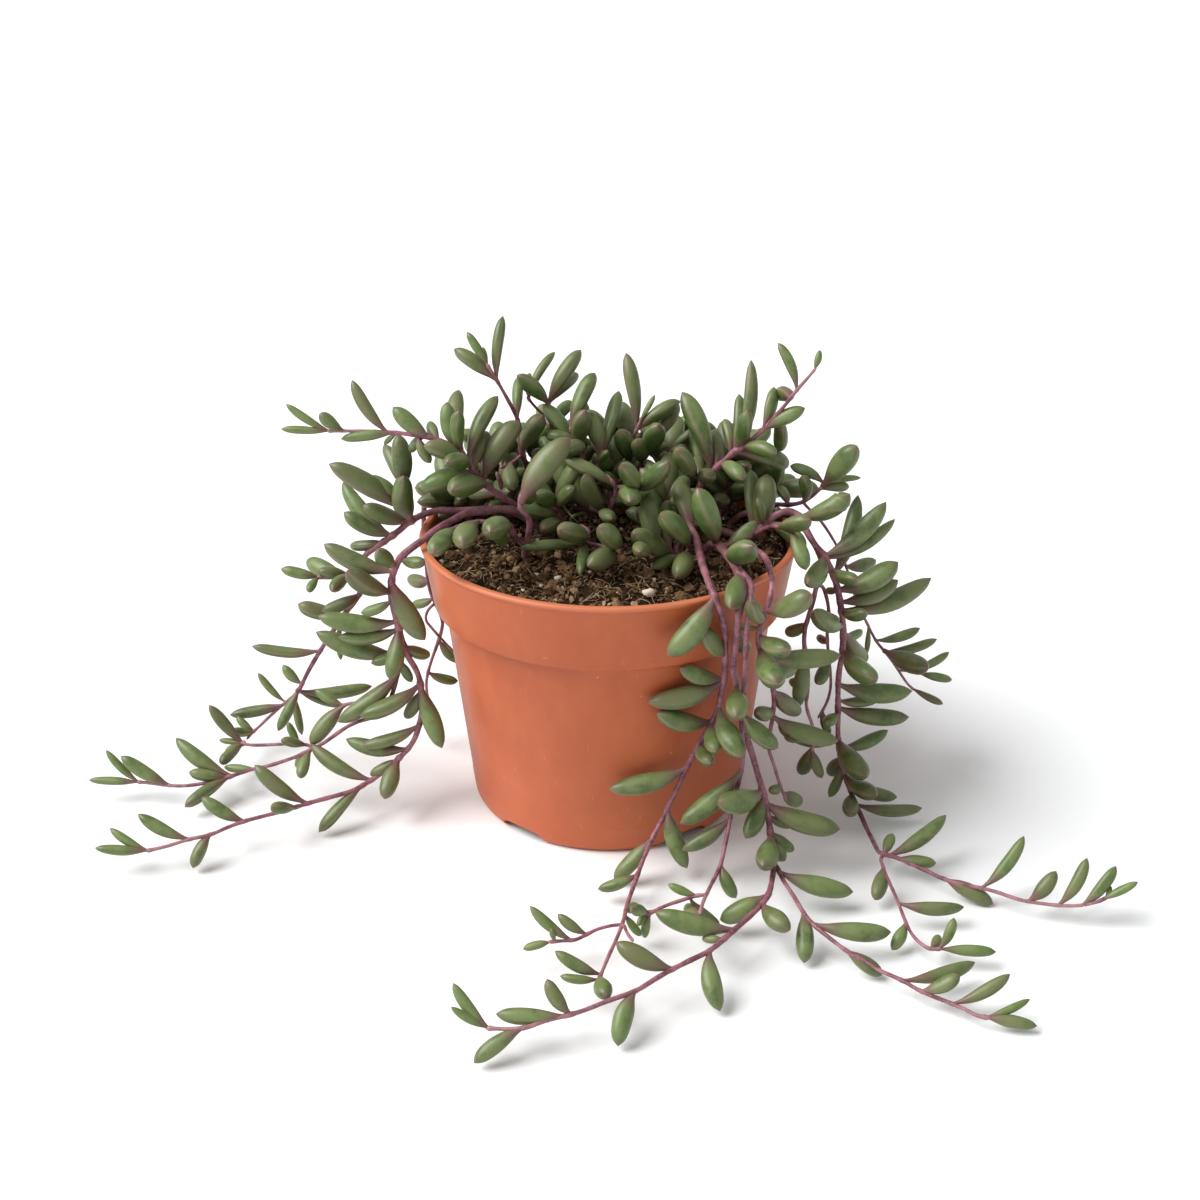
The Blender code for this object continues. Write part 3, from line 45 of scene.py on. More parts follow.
# ---------------------------------------------------------------- shoots
# r      stem radius at the root and at the tip, mm
# stems  first the main stem, then its branches; a point is (across, down, depth) as seen from the
#        viewpoint, with H + z in place of the depth for a height above the table, or (None, x, y, z)
# leaves (base across, base down, tip across, tip down, width[, lean]); lean -1 turns the tip
#        towards the viewpoint and +1 away from it, H + z sets the height of the tip
H = 1000.0
SHOOTS = {
"trailing_shoot_left_low": dict(r=(1.35, 0.55), stems=[
  [(552,538,2),(535,522,0),(518,511,-2),(503,509,-3),(488,511,-4),(470,512,-5),(455,519,-8),(436,530,-12),(420,542,-17),(404,554,-18),(396,565,-17),(392,578,-16),(391,595,-15),(395,614,-14),(400,632,-13),(404,647,-13),(410,660,-13),(418,673,-13),(421,690,-14),(422,707,-15),(420,722,-17),(415,738,-19),(408,749,-20),(396,761,-21),(381,774,H+15),(368,782,H+13),(355,790,H+12),(331,797,H+11.5),(309,803,H+11),(290,809,H+11),(268,815,H+10.5),(245,821,H+10),(226,828,H+10),(210,835,H+10),(190,839,H+9.5),(168,846,H+8.5),(146,851,H+7.5)],
  [(403,647,-13),(400,664,-11),(396,682,-11),(390,700,-12),(383,714,-13),(366,719,-13),(350,725,-13),(335,735,-13),(322,744,-13),(308,751,H+19.5),(298,756,H+17),(284,761,H+13.5),(268,766,H+11),(250,770,H+9.5),(232,776,H+9),(215,781,H+8.5),(200,784,H+8),(182,786,H+7.5),(165,785,H+7),(150,783,H+7),(137,782,H+7)],
  [(383,714,-13),(366,706,-10),(352,703,-8),(342,706,-7)],
  [(316,748,H+20.5),(302,744,H+19),(285,744,H+17),(265,745,H+15),(250,745,H+13),(242,743,H+12)],
 ], leaves=[
  (146,852,95,848,11),(136,849,110,828,9),(190,839,138,814,13),(211,835,193,868,14,H+2.2),(245,821,202,797,14),(297,808,272,807,15,-1),(308,803,255,765,16),(363,787,319,832,15,H+2.2),(371,779,311,744,15,1),(392,752,370,775,12,1),(399,757,385,799,18,-1),(410,750,346,739,16,1),(422,725,362,746,15,-1),(420,685,442,748,19,-1),(416,684,360,716,20,-1),(414,690,405,718,14,1),
  (137,783,89,780,9),(138,782,106,750,8),(170,784,121,756,14),(232,775,176,738,15),(228,776,189,772,14,-1),(230,778,185,807,15,H+2),(256,768,224,767,9,1),(343,706,311,745,18,-1),(342,705,315,689,10,1),(388,672,338,722,20,-1),(312,752,301,778,14,-1),(303,753,297,767,8,1),
  (242,743,209,705,12),(243,746,221,764,13,-1),(240,741,219,740,7),(240,745,225,751,6),(308,743,281,740,11,-1),(300,744,288,722,8),
  (395,572,324,544,20,-1),(392,592,347,571,24,-1),(394,622,318,616,20,-1),(394,630,338,637,16,-1),(400,655,316,632,20,-1),(402,648,371,663,12,-1),(397,582,425,640,22,-1),(404,645,430,655,14,1),(396,566,379,550,17,-1),(402,560,425,562,13,1),(400,630,412,602,12,1),(395,628,390,680,20,-1),(392,600,361,613,12,1),(404,660,412,682,10,1),
 ]),
"trailing_shoot_left_high": dict(r=(1.3, 0.5), stems=[
  [(None,-23,8,90.5),(None,-33,8,96),(455,511,6),(440,510,6),(425,514,5),(410,521,4),(400,530,3),(385,541,2),(370,551,2),(362,560,2),(358,575,2),(361,592,3),(350,607,4),(335,628,5),(322,648,6),(310,668,8),(303,682,9),(297,693,10),(285,703,H+17),(270,716,H+13),(262,724,H+11),(252,733,H+9.5),(247,739,H+9)],
  [(358,573,2),(342,576,0),(328,578,-1),(317,577,-2)],
  [(410,521,4),(404,512,2),(400,500,0),(404,490,-2)],
 ], leaves=[
  (320,650,252,646,13),(284,700,258,673,8),(282,703,230,715,13),(303,692,278,731,12,-1),(306,686,283,665,10,1),(300,692,372,686,15,1),(302,694,343,706,10,1),(254,731,231,731,11,-1),(254,730,237,716,8,1),(296,696,302,735,9,1),
  (384,541,350,546,14,1),(345,575,308,560,18,1),(350,575,318,571,14,-1),(318,577,281,569,12),(318,577,309,592,10,-1),(352,575,333,590,15,-1),(361,593,322,611,15,-1),(345,615,298,604,18),(341,620,341,660,8,1),
  (404,510,329,464,22),(390,533,343,482,17,1),(392,534,344,512,17,-1),(410,520,363,505,19,-1),(402,500,368,477,14,1),(412,520,404,476,24,-1),(404,490,398,434,20,-1),(402,490,384,445,14,1),
 ]),
"arching_shoot_upper_left": dict(r=(1.3, 0.45), stems=[
  [(550,534,8),(530,518,4),(516,506,0),(500,495,-3),(482,482,-6),(472,468,-8),(465,457,-9),(458,449,-9),(446,443,-9),(432,438,-9),(415,435,-9),(398,433,-9),(380,432,-9),(362,431,-9),(344,431,-9),(327,431,-9)],
 ], leaves=[
  (327,431,281,429,9),(325,430,286,404,9),(344,431,320,413,14),(388,431,352,380,13),(395,433,341,439,12),(430,437,393,407,17),(398,433,384,445,6,1),
  (466,460,424,446,20,-1),(470,468,447,463,20,-1),(440,441,430,422,11,1),(457,447,447,402,17,1),(460,450,459,390,18,1),(462,453,459,411,17,-1),(468,462,498,396,18,1),(474,470,488,432,17,1),(482,482,519,421,25,-1),(474,474,421,490,22,-1),(486,486,452,490,25,-1),(500,495,468,492,18,1),(418,436,431,463,12,1),(424,437,411,452,10,1),
 ]),
"upright_shoot_left": dict(r=(1.2, 0.45), stems=[
  [(None,-22,24,90.5),(None,-26,22,104),(521,450,18),(520,430,16),(516,415,14),(508,400,12),(499,384,10),(493,374,9),(487,364,8)],
  [(521,455,19),(512,463,16),(500,468,12)],
 ], leaves=[
  (498,380,503,316,13),(496,382,454,349,16),(488,366,467,332,9),(488,364,483,347,5),(518,420,519,377,12,1),(522,452,543,415,22),(521,450,523,424,14,1),(512,463,514,490,16,-1),(500,468,505,440,14,1),
 ]),
"upright_shoot_back_left": dict(r=(1.15, 0.45), stems=[
  [(None,-12,32,90.5),(None,-15,31,108),(551,428,28),(550,412,26),(548,402,24)],
  [(550,420,27),(538,410,25),(527,397,24)],
 ], leaves=[
  (548,402,517,375,18,-1),(549,402,581,350,18),(551,402,578,374,15,-1),(527,397,555,352,11,1),(551,428,572,402,14,1),(551,430,543,408,18,1),(527,398,530,373,8,1),
 ]),
"crown_shoot_centre_left": dict(r=(1.2, 0.45), stems=[
  [(None,-8,20,90.5),(None,-9,18,103),(583,452,14),(576,441,12),(570,428,10)],
  [(None,-8,19,95),(598,465,12),(603,450,10)],
 ], leaves=[
  (570,426,595,373,19,1),(580,448,585,410,20,-1),(598,460,619,391,17,1),(603,455,588,412,18),(600,458,594,436,12,1),(576,441,545,435,14,1),(583,452,565,452,21,-1),(598,465,608,451,10,-1),(590,458,543,404,20,1),
 ]),
"upright_shoot_centre": dict(r=(1.2, 0.45), stems=[
  [(None,6,26,90.5),(None,7,24,104),(630,446,18),(634,436,16),(640,422,14)],
  [(None,7,24,100),(648,452,16),(655,440,15)],
 ], leaves=[
  (636,430,626,353,16),(637,430,680,401,17,-1),(643,418,655,395,6),(652,442,679,404,14,1),(628,448,621,403,20,1),(626,462,620,431,20,-1),(640,462,637,441,18,-1),(652,460,658,425,21,-1),(645,450,650,425,14,1),(655,452,668,446,8,1),
 ]),
"upright_shoot_right": dict(r=(1.25, 0.45), stems=[
  [(None,26,12,90.5),(None,29,10,103),(712,472,4),(724,461,2),(737,450,0),(750,441,-1),(762,431,-2),(775,417,-3),(786,404,-4),(796,391,-4),(806,380,-4),(816,368,-4)],
  [(None,27,11,96),(702,484,2),(694,474,0)],
 ], leaves=[
  (814,370,820,350,7),(796,390,778,343,12),(762,430,774,387,14,1),(792,400,777,396,18,1),(764,431,805,408,15,-1),(778,416,779,451,18,1),(742,447,776,454,17,-1),(737,455,788,466,24,1),
  (738,448,751,360,15),(736,450,747,410,17,-1),(732,452,739,394,14,1),(730,455,724,419,14,1),(710,472,682,392,24),(716,468,713,430,16,1),(702,484,690,426,13,1),(700,484,697,457,14,1),(707,480,705,477,18,-1),(720,464,742,480,18,-1),
  (694,480,678,451,22,-1),
 ]),
"crown_shoot_centre": dict(r=(1.2, 0.5), stems=[
  [(None,2,2,90.5),(609,513,-3),(613,502,-5),(616,490,-6),(611,479,-7)],
  [(609,513,-3),(600,512,-5),(590,512,-6)],
  [(616,490,-6),(626,486,-7),(634,490,-8)],
 ], leaves=[
  (590,512,572,518,22,-1),(597,511,554,455,26,1),(606,510,586,474,19,-1),(616,485,565,460,18,1),(630,488,622,465,21,-1),(633,490,668,462,22,-1),(620,490,630,502,21,-1),(611,480,604,478,8,1),(609,512,612,519,17,-1),(600,512,588,500,14,1),
 ]),
"crown_shoot_front_left": dict(r=(1.2, 0.5), stems=[
  [(None,-26,-14,90.5),(530,520,-22),(518,506,-24),(524,492,-22),(530,478,-20)],
  [(None,-27,-15,92.5),(508,524,-22),(490,522,-24),(470,522,-26),(455,528,-28)],
 ], leaves=[
  (519,505,570,438,27,-1),(512,524,490,532,25,-1),(478,520,463,545,23,-1),(455,528,433,553,22,-1),(522,498,530,500,18,1),(500,523,505,545,14,1),
 ]),
"crown_shoot_front_centre": dict(r=(1.2, 0.5), stems=[
  [(None,-8,-12,90.5),(583,541,-18),(590,532,-20),(580,525,-20)],
  [(583,541,-17),(600,546,-20),(618,548,-22)],
 ], leaves=[
  (582,541,560,530,24,-1),(580,545,520,548,20,-1),(580,528,555,494,20,1),(612,548,588,566,22,-1),(618,548,599,528,22,-1),(600,546,610,545,10,1),(583,541,580,575,12,-1),
 ]),
"hanging_shoot_front": dict(r=(1.3, 0.5), stems=[
  [(None,22,-8,90.5),(684,524,-14),(695,535,-22),(700,556,-32),(705,572,-42),(711,588,-52),(718,605,-56),(723,620,-55),(725,634,-53),(725,655,-51),(725,674,-50),(722,690,-49.5),(719,706,-49),(712,722,-49),(703,738,-49.5),(695,752,-50),(687,767,-50.5),(680,782,-51),(673,797,-52),(664,816,-54),(654,835,-57),(647,850,-61),(640,868,-67),(633,888,-75),(627,905,-84),(623,922,H+11),(616,940,H+10),(609,955,H+10),(602,972,H+10),(598,981,H+10)],
  [(623,922,H+11),(610,926,H+10.5),(595,930,H+10),(586,935,H+10),(575,940,H+9.5),(560,941,H+9.5),(548,942,H+9.5)],
  [(623,922,H+11),(627,933,H+13),(633,941,H+14)],
  [(None,21,-10,93.5),(676,556,-16),(686,553,-19),(690,544,-21)],
  [(676,556,-16),(664,550,-18),(652,548,-20)],
 ], leaves=[
  (690,528,678,480,22,1),(676,556,634,534,24,-1),(680,556,652,568,13,-1),(688,553,676,578,20,-1),(660,549,650,492,22,1),(672,552,668,500,18,1),(652,548,640,552,18,-1),
  (692,545,660,515,25,-1),
  (724,656,704,629,20,-1),(713,597,667,656,24,-1),(722,678,680,668,18,1),(720,680,648,702,22,-1),(712,722,657,713,22,-1),(712,722,716,752,17,-1),(700,742,711,763,17,-1),(719,706,742,757,24,-1),(685,766,609,789,20,-1),(664,806,687,868,18,-1),(653,837,614,879,17,-1),(638,874,598,889,13),
  (600,976,607,996,18,-1),(600,974,555,951,13),(596,982,560,976,10),(586,931,558,914,11),(572,940,530,906,11),(550,942,523,949,9),(556,941,552,928,6),(630,912,636,905,12,1),(628,915,641,936,9,-1),
 ]),
"trailing_shoot_front": dict(r=(1.35, 0.55), stems=[
  [(None,30,-12,90.5),(716,543,-22),(728,556,-32),(738,572,-42),(745,590,-50),(741,604,-55),(738,618,-56),(737,634,-55),(735,650,-53),(733,668,-51.5),(737,684,-51),(740,700,-50.5),(742,718,-50),(747,738,-50),(753,757,-50.5),(758,775,-52),(764,795,-54),(768,815,-57),(771,838,-61),(774,860,H+12),(772,880,H+12),(767,898,H+12),(752,914,H+12),(733,931,H+12),(711,950,H+12),(695,958,H+12),(675,968,H+12),(655,979,H+12),(636,991,H+12),(610,1000,H+11.5),(588,1009,H+11),(569,1015,H+10.5),(548,1020,H+10),(525,1028,H+9.5),(505,1029,H+9),(486,1028,H+9)],
  [(774,860,H+12),(783,880,H+11.5),(793,895,H+11),(805,915,H+10.5),(817,928,H+10),(831,939,H+9),(845,950,H+8),(858,957,H+7),(870,964,H+6.5),(884,973,H+6),(900,979,H+5.5),(920,991,H+5),(940,999,H+4.5),(962,1008,H+4),(978,1016,H+4),(992,1018,H+4)],
  [(738,572,-42),(748,578,-46),(752,590,-52),(750,604,-56),(747,625,-57),(746,645,-56),(745,665,-55),(744,690,-54.5),(741,712,-54.5),(742,735,-54),(743,760,-54),(738,785,-55),(732,806,-57),(729,826,-60),(725,845,-64),(721,864,-69),(713,881,-75),(707,893,H+15),(702,905,H+14),(700,914,H+13)],
  [(706,892,H+15),(692,897,H+14),(676,902,H+13),(660,908,H+12),(650,913,H+11),(640,913,H+10)],
 ], leaves=[
  (736,770,680,824,20,-1),(731,818,682,850,15,-1),(721,864,736,898,14,-1),(698,896,668,884,9),(700,912,688,905,14,1),(650,912,632,908,12,-1),(648,914,638,926,7),(652,914,645,938,9,1),(690,898,720,925,12,1),
  (716,543,697,488,28,-1),(722,548,756,521,13,-1),(728,556,752,546,26,-1),(738,572,730,608,21,-1),(736,634,747,648,18,1),
  (735,684,736,716,22,-1),(742,712,778,748,20,-1),(760,790,718,802,24,-1),(763,795,745,838,18,-1),(770,802,840,829,24),(772,815,795,823,12,1),(770,835,763,866,22,-1),(773,840,785,861,14,-1),(772,830,794,850,13,1),
  (768,894,720,920,20,-1),(765,905,790,930,20,-1),(735,930,655,912,21,-1),(711,952,720,1011,20,H+2.4),(672,967,616,942,20),(636,993,618,1046,20,H+2.4),(571,1014,547,979,15),(566,1016,496,1014,17),(524,1030,474,1063,17,H+2.4),(488,1028,453,983,12),(484,1029,451,1007,9),(724,938,702,938,9,1),(733,932,704,924,8,1),
  (780,872,853,892,20),(803,912,804,963,18,H+2.4),(815,922,891,932,19),(845,950,882,975,16,-1),(903,978,975,962,15,1),(922,990,960,975,16,-1),(952,1003,1010,974,13),(985,1016,1030,999,8),(985,1018,1037,1026,13),
 ]),
"cluster_shoot_right_front": dict(r=(1.15, 0.5), stems=[
  [(None,36,-8,90.5),(760,552,-30),(770,570,-44),(772,588,-52),(768,606,-54),(762,622,-54),(758,640,-53),(762,655,-50),(770,672,-47),(773,690,-45),(774,706,-44),(772,722,-44),(768,745,-44),(774,765,-45),(780,785,-46),(786,800,-47)],
 ], leaves=[
  (762,628,735,624,8,1),(765,618,751,602,20,-1),(768,612,811,594,25,-1),(760,635,788,650,22,-1),(760,648,777,684,26,-1),(764,655,841,655,20),(772,690,800,712,20,1),(773,708,757,712,16,-1),(773,716,838,741,20,-1),(770,735,752,722,12,1),(783,792,800,800,16,1),(779,785,770,790,10,-1),(770,672,797,662,18,1),
 ]),
"spreading_shoot_right": dict(r=(1.25, 0.5), stems=[
  [(None,34,6,90.5),(744,538,0),(757,533,-6),(768,521,-8),(782,512,-8),(797,513,-9),(806,530,-12),(815,545,-14),(824,556,-15),(833,575,-16),(838,590,-17),(841,608,-18),(843,622,-19),(843,638,-19),(842,655,-19),(839,672,-18),(838,690,-18),(838,707,-17),(838,722,-17),(838,738,-17),(840,756,-18),(845,775,-20),(850,790,-23),(857,806,-28),(866,827,-36),(875,845,-46),(880,853,H+9),(895,857,H+8),(911,864,H+7),(927,871,H+6.5),(941,878,H+6),(960,884,H+6),(981,888,H+6),(1000,893,H+6),(1020,900,H+6),(1045,904,H+6),(1067,906,H+6.5),(1085,905,H+7.5)],
  [(879,852,H+9),(884,870,H+8.5),(891,886,H+8),(898,902,H+7.5),(904,918,H+7),(911,933,H+7),(920,943,H+6.5),(930,949,H+6.5),(942,949,H+6.5)],
  [(1085,905,H+7.5),(1097,902,H+9),(1108,897,H+10)],
  [(757,533,-6),(772,526,-14),(788,530,-20),(800,540,-24)],
 ], leaves=[
  (757,535,767,474,23,-1),(752,536,750,470,19,1),(762,528,757,498,12,-1),(775,540,810,520,20,-1),(790,532,806,570,17,-1),(768,524,806,548,17,-1),
  (803,515,850,494,24,-1),(834,576,858,495,18,1),(824,556,886,502,19,-1),(826,558,895,519,13,1),(830,570,856,579,17,-1),(822,556,807,584,20,-1),(838,590,898,562,24,-1),(840,602,898,580,19,1),(842,610,931,578,20,1),(842,612,866,612,16,-1),(836,588,826,590,9,1),
  (843,625,814,612,22,-1),(843,630,866,659,20,1),(842,650,876,680,24,-1),(843,636,862,630,10,1),(839,684,912,691,20,-1),(838,700,880,698,12,1),(838,707,909,717,18),(838,712,825,722,12,-1),(840,741,778,724,22,-1),(838,748,888,730,13,1),(838,740,866,776,24,-1),(845,775,876,795,20,-1),(848,780,897,797,14,1),(840,756,830,772,16,1),(842,765,829,797,12,1),(852,792,848,813,17,-1),(857,804,922,808,14),
  (883,855,893,834,11,1),(888,856,946,815,15,1),(897,858,936,863,14,-1),(882,868,875,900,16,-1),(945,879,993,904,16,-1),(981,887,1024,836,13),(1028,900,1056,871,15),(1058,905,1087,858,13),(1085,905,1116,866,13),(1100,900,1138,882,9),(1105,898,1111,886,5),
  (899,903,964,907,14),(906,922,892,950,13,-1),(930,949,938,936,11,1),(942,949,954,918,11),(942,950,996,952,12),
 ]),
"hanging_shoot_left_back": dict(r=(1.1, 0.45), stems=[
  [(None,-40,34,90.5),(None,-52,29,98),(None,-61,24,95),(428,580,20),(436,604,20),(443,622,20),(438,642,20),(431,662,20),(426,684,21),(430,706,23)],
  [(436,604,20),(424,616,18),(437,634,15),(452,650,16)],
 ], leaves=[
  (428,580,409,577,15,1),(440,640,461,662,11,1),(452,648,470,664,9,1),(428,672,458,681,11,1),(436,604,450,590,12,1),(428,600,412,604,11,1),(430,690,412,705,11,1),(430,704,440,730,10,1),
 ]),
"hanging_shoot_right_back": dict(r=(1.15, 0.45), stems=[
  [(None,47,10,90.5),(None,54,5,95.5),(None,60,-2,96),(822,560,-12),(818,580,-18),(812,605,-20),(804,634,-22),(806,660,-24),(808,690,-24),(806,706,-24),(812,724,-24),(814,738,-24),(812,752,-24)],
  [(818,580,-18),(825,592,-16),(829,612,-16),(827,634,-15),(829,660,-14),(831,684,-14),(827,702,-14),(818,718,-13)],
 ], leaves=[
  (804,650,797,708,17,-1),(830,658,817,683,14,-1),(813,733,784,737,12,1),(810,745,800,773,15,1),(812,750,822,778,12,1),(826,640,818,636,10,1),(808,684,790,680,12,1),(822,710,830,735,10,1),(806,622,786,632,14,1),(828,612,840,622,9,1),
 ]),
"spreading_shoot_far_right": dict(r=(1.15, 0.45), stems=[
  [(None,40,14,90.5),(772,505,8),(788,505,4),(803,502,0),(815,494,-2),(826,482,-2)],
  [(803,502,0),(812,512,0),(824,525,2),(838,548,4),(846,566,6),(852,586,8),(858,605,10),(868,625,12),(876,641,13),(886,653,14),(897,668,15),(906,682,16),(914,690,17)],
  [(897,668,15),(908,671,14),(922,674,13)],
 ], leaves=[
  (822,486,857,446,23,-1),(824,482,845,447,13,1),(826,482,790,466,13,1),(828,481,861,478,7,1),(820,490,849,487,12,1),(803,500,803,476,15,-1),(788,505,778,487,12,1),
  (884,650,928,668,22,-1),(876,640,920,628,11,1),(886,650,937,639,11,1),(910,672,949,652,9,1),(920,674,952,680,10),(912,688,943,704,9),(868,625,866,655,6,1),(846,566,876,560,14,1),
 ]),
}

# Shoots that fall behind the pot, given by their path alone; their leaves follow a spiral.
BACK_SHOOTS = {
"back_shoot_centre": dict(r=(1.35, 0.5), n=22, stems=[
  [(None,5,40,90.5),(None,7,51,97),(None,8,62,98),(None,9,71,85),(None,11,80,55),(None,13,92,24),(None,15,108,9),(None,17,126,6),(None,16,143,6)],
 ], leaves=[]),
"back_shoot_left": dict(r=(1.3, 0.5), n=21, stems=[
  [(None,-18,42,90.5),(None,-24,52,98),(None,-31,61,98),(None,-36,68,82),(None,-41,77,50),(None,-45,90,20),(None,-49,108,8),(None,-48,128,6)],
 ], leaves=[]),
"back_shoot_right": dict(r=(1.3, 0.5), n=19, stems=[
  [(None,24,40,90.5),(None,30,49,98),(None,36,58,98),(None,42,66,82),(None,46,76,48),(None,48,90,19),(None,47,106,8),(None,42,122,6)],
 ], leaves=[]),
"back_shoot_short_left": dict(r=(1.15, 0.5), n=14, stems=[
  [(None,-6,46,90.5),(None,-9,56,98),(None,-11,67,97),(None,-13,76,82),(None,-15,82,60),(None,-14,86,38)],
 ], leaves=[]),
}

# ---------------------------------------------------------------- geometry of the layout
EYE = np.array((-2.8, -472.0, 284.0))      # viewpoint of the measured sights, mm
TILT = radians(24.63)
FOCAL = 1600.0
CT, ST = cos(TILT), sin(TILT)
TABLE_GAP = 0.12
CLEAR = 0.50                               # free space kept between two shoots
LEAF_T = np.array((0.16, 0.34, 0.52, 0.70, 0.86, 0.97))   # stations along a leaf
LEAF_R = np.array((0.42, 0.78, 0.98, 1.00, 0.74, 0.28))   # girth there
RIM_R, RIM_Z = 60.0, 92.3


def soil_top(x, y):
    r2 = (x * x + y * y) / 3025.0
    return (87.4 + 1.5 * (1.0 - r2) + 0.45 * np.sin(0.31 * x + 0.5) * np.cos(0.27 * y)
            + 0.30 * np.sin(0.73 * x - 0.41 * y))


def sight(u, v):
    a, b = (u - 600.0) / FOCAL, (600.0 - v) / FOCAL
    d = np.array((a, CT + b * ST, -ST + b * CT))
    return d / np.linalg.norm(d)


def place(q):
    if q[0] is None:
        return np.array(q[1:4], float)
    d = sight(q[0], q[1])
    if q[2] < 900.0:
        t = (q[2] - EYE[1]) / d[1]
    else:
        t = (q[2] - H - EYE[2]) / d[2]
    return EYE + t * d


def screen(p):
    """Sight of points p (n, 3) and their distance straight ahead of the viewpoint."""
    d = np.atleast_2d(p) - EYE
    f = d[:, 1] * CT - d[:, 2] * ST
    up = d[:, 1] * ST + d[:, 2] * CT
    return np.column_stack((600 + FOCAL * d[:, 0] / f, 600 - FOCAL * up / f)), f


def fair(pts, step):
    """Smooth curve through pts, read off every `step` mm."""
    p = np.array(pts, float)
    if len(p) == 2:
        p = np.array((p[0], (p[0] + p[1]) / 2, p[1]))
    q = np.vstack((2 * p[0] - p[1], p, 2 * p[-1] - p[-2]))
    out = []
    for i in range(1, len(q) - 2):
        a, b, c, d = q[i - 1], q[i], q[i + 1], q[i + 2]
        for k in range(8):
            t = k / 8.0
            out.append(0.5 * (2 * b + (c - a) * t + (2 * a - 5 * b + 4 * c - d) * t * t
                              + (3 * b - a - 3 * c + d) * t ** 3))
    out.append(q[-2])
    out = np.array(out)
    for _ in range(6):
        out[1:-1] = 0.25 * out[:-2] + 0.5 * out[1:-1] + 0.25 * out[2:]
    s = np.concatenate(((0,), np.cumsum(np.linalg.norm(np.diff(out, axis=0), axis=1))))
    n = max(2, int(round(s[-1] / step)))
    w = np.linspace(0, s[-1], n + 1)
    return np.column_stack([np.interp(w, s, out[:, k]) for k in range(3)])


# Roots and heads of the short shoots that fill the crown, mm; each is nudged to where most leaves fit.
FILLS = {
    "crown_fill_far_left": (-46, 16, 106), "crown_fill_left": (-36, 14, 112), "crown_fill_left_back": (-31, 30, 113),
    "crown_fill_inner_left": (-18, 18, 115), "crown_fill_centre": (-2, 16, 115), "crown_fill_centre_back": (-3, 36, 117),
    "crown_fill_inner_right": (15, 22, 116), "crown_fill_right_back": (15, 40, 116), "crown_fill_right": (34, 24, 114),
    "crown_fill_far_right": (46, 18, 107), "crown_fill_back_left": (-26, 40, 110), "crown_fill_back_right": (31, 38, 111),
    "crown_fill_front_left": (-12, 4, 108), "crown_fill_front_right": (13, 6, 109),
}


# outline of pot and soil as one filled figure in (radius, height)
FIGURE = np.array(((0, 0), (42.6, 0), (45.2, 2.6), (52.5, 66.5), (56.4, 72.3), (57.8, 80.0), (59.9, 91.0),
                   (60.0, 92.3), (57.8, 92.5), (56.9, 87.6), (40.0, 88.8), (20.0, 89.7), (0, 90.0)))


def pot_clearance(p):
    """Signed distance of points p (n, 3) from pot and soil, positive outside."""
    r = np.hypot(p[:, 0], p[:, 1])
    z = p[:, 2]
    q = np.column_stack((r, z))
    best = np.full(len(q), 1e9)
    inside = np.zeros(len(q), bool)
    n = len(FIGURE)
    for i in range(n):
        a, b = FIGURE[i], FIGURE[(i + 1) % n]
        e = b - a
        if i != n - 1:
            t = np.clip(((q - a) @ e) / (e @ e), 0, 1)
            best = np.minimum(best, np.linalg.norm(q - (a + t[:, None] * e), axis=1))
        cond = (a[1] > z) != (b[1] > z)
        with np.errstate(divide="ignore", invalid="ignore"):
            xi = a[0] + (z - a[1]) * e[0] / (e[1] if e[1] else 1e-9)
        inside ^= cond & (r < xi)
    return np.where(inside, -best, best)


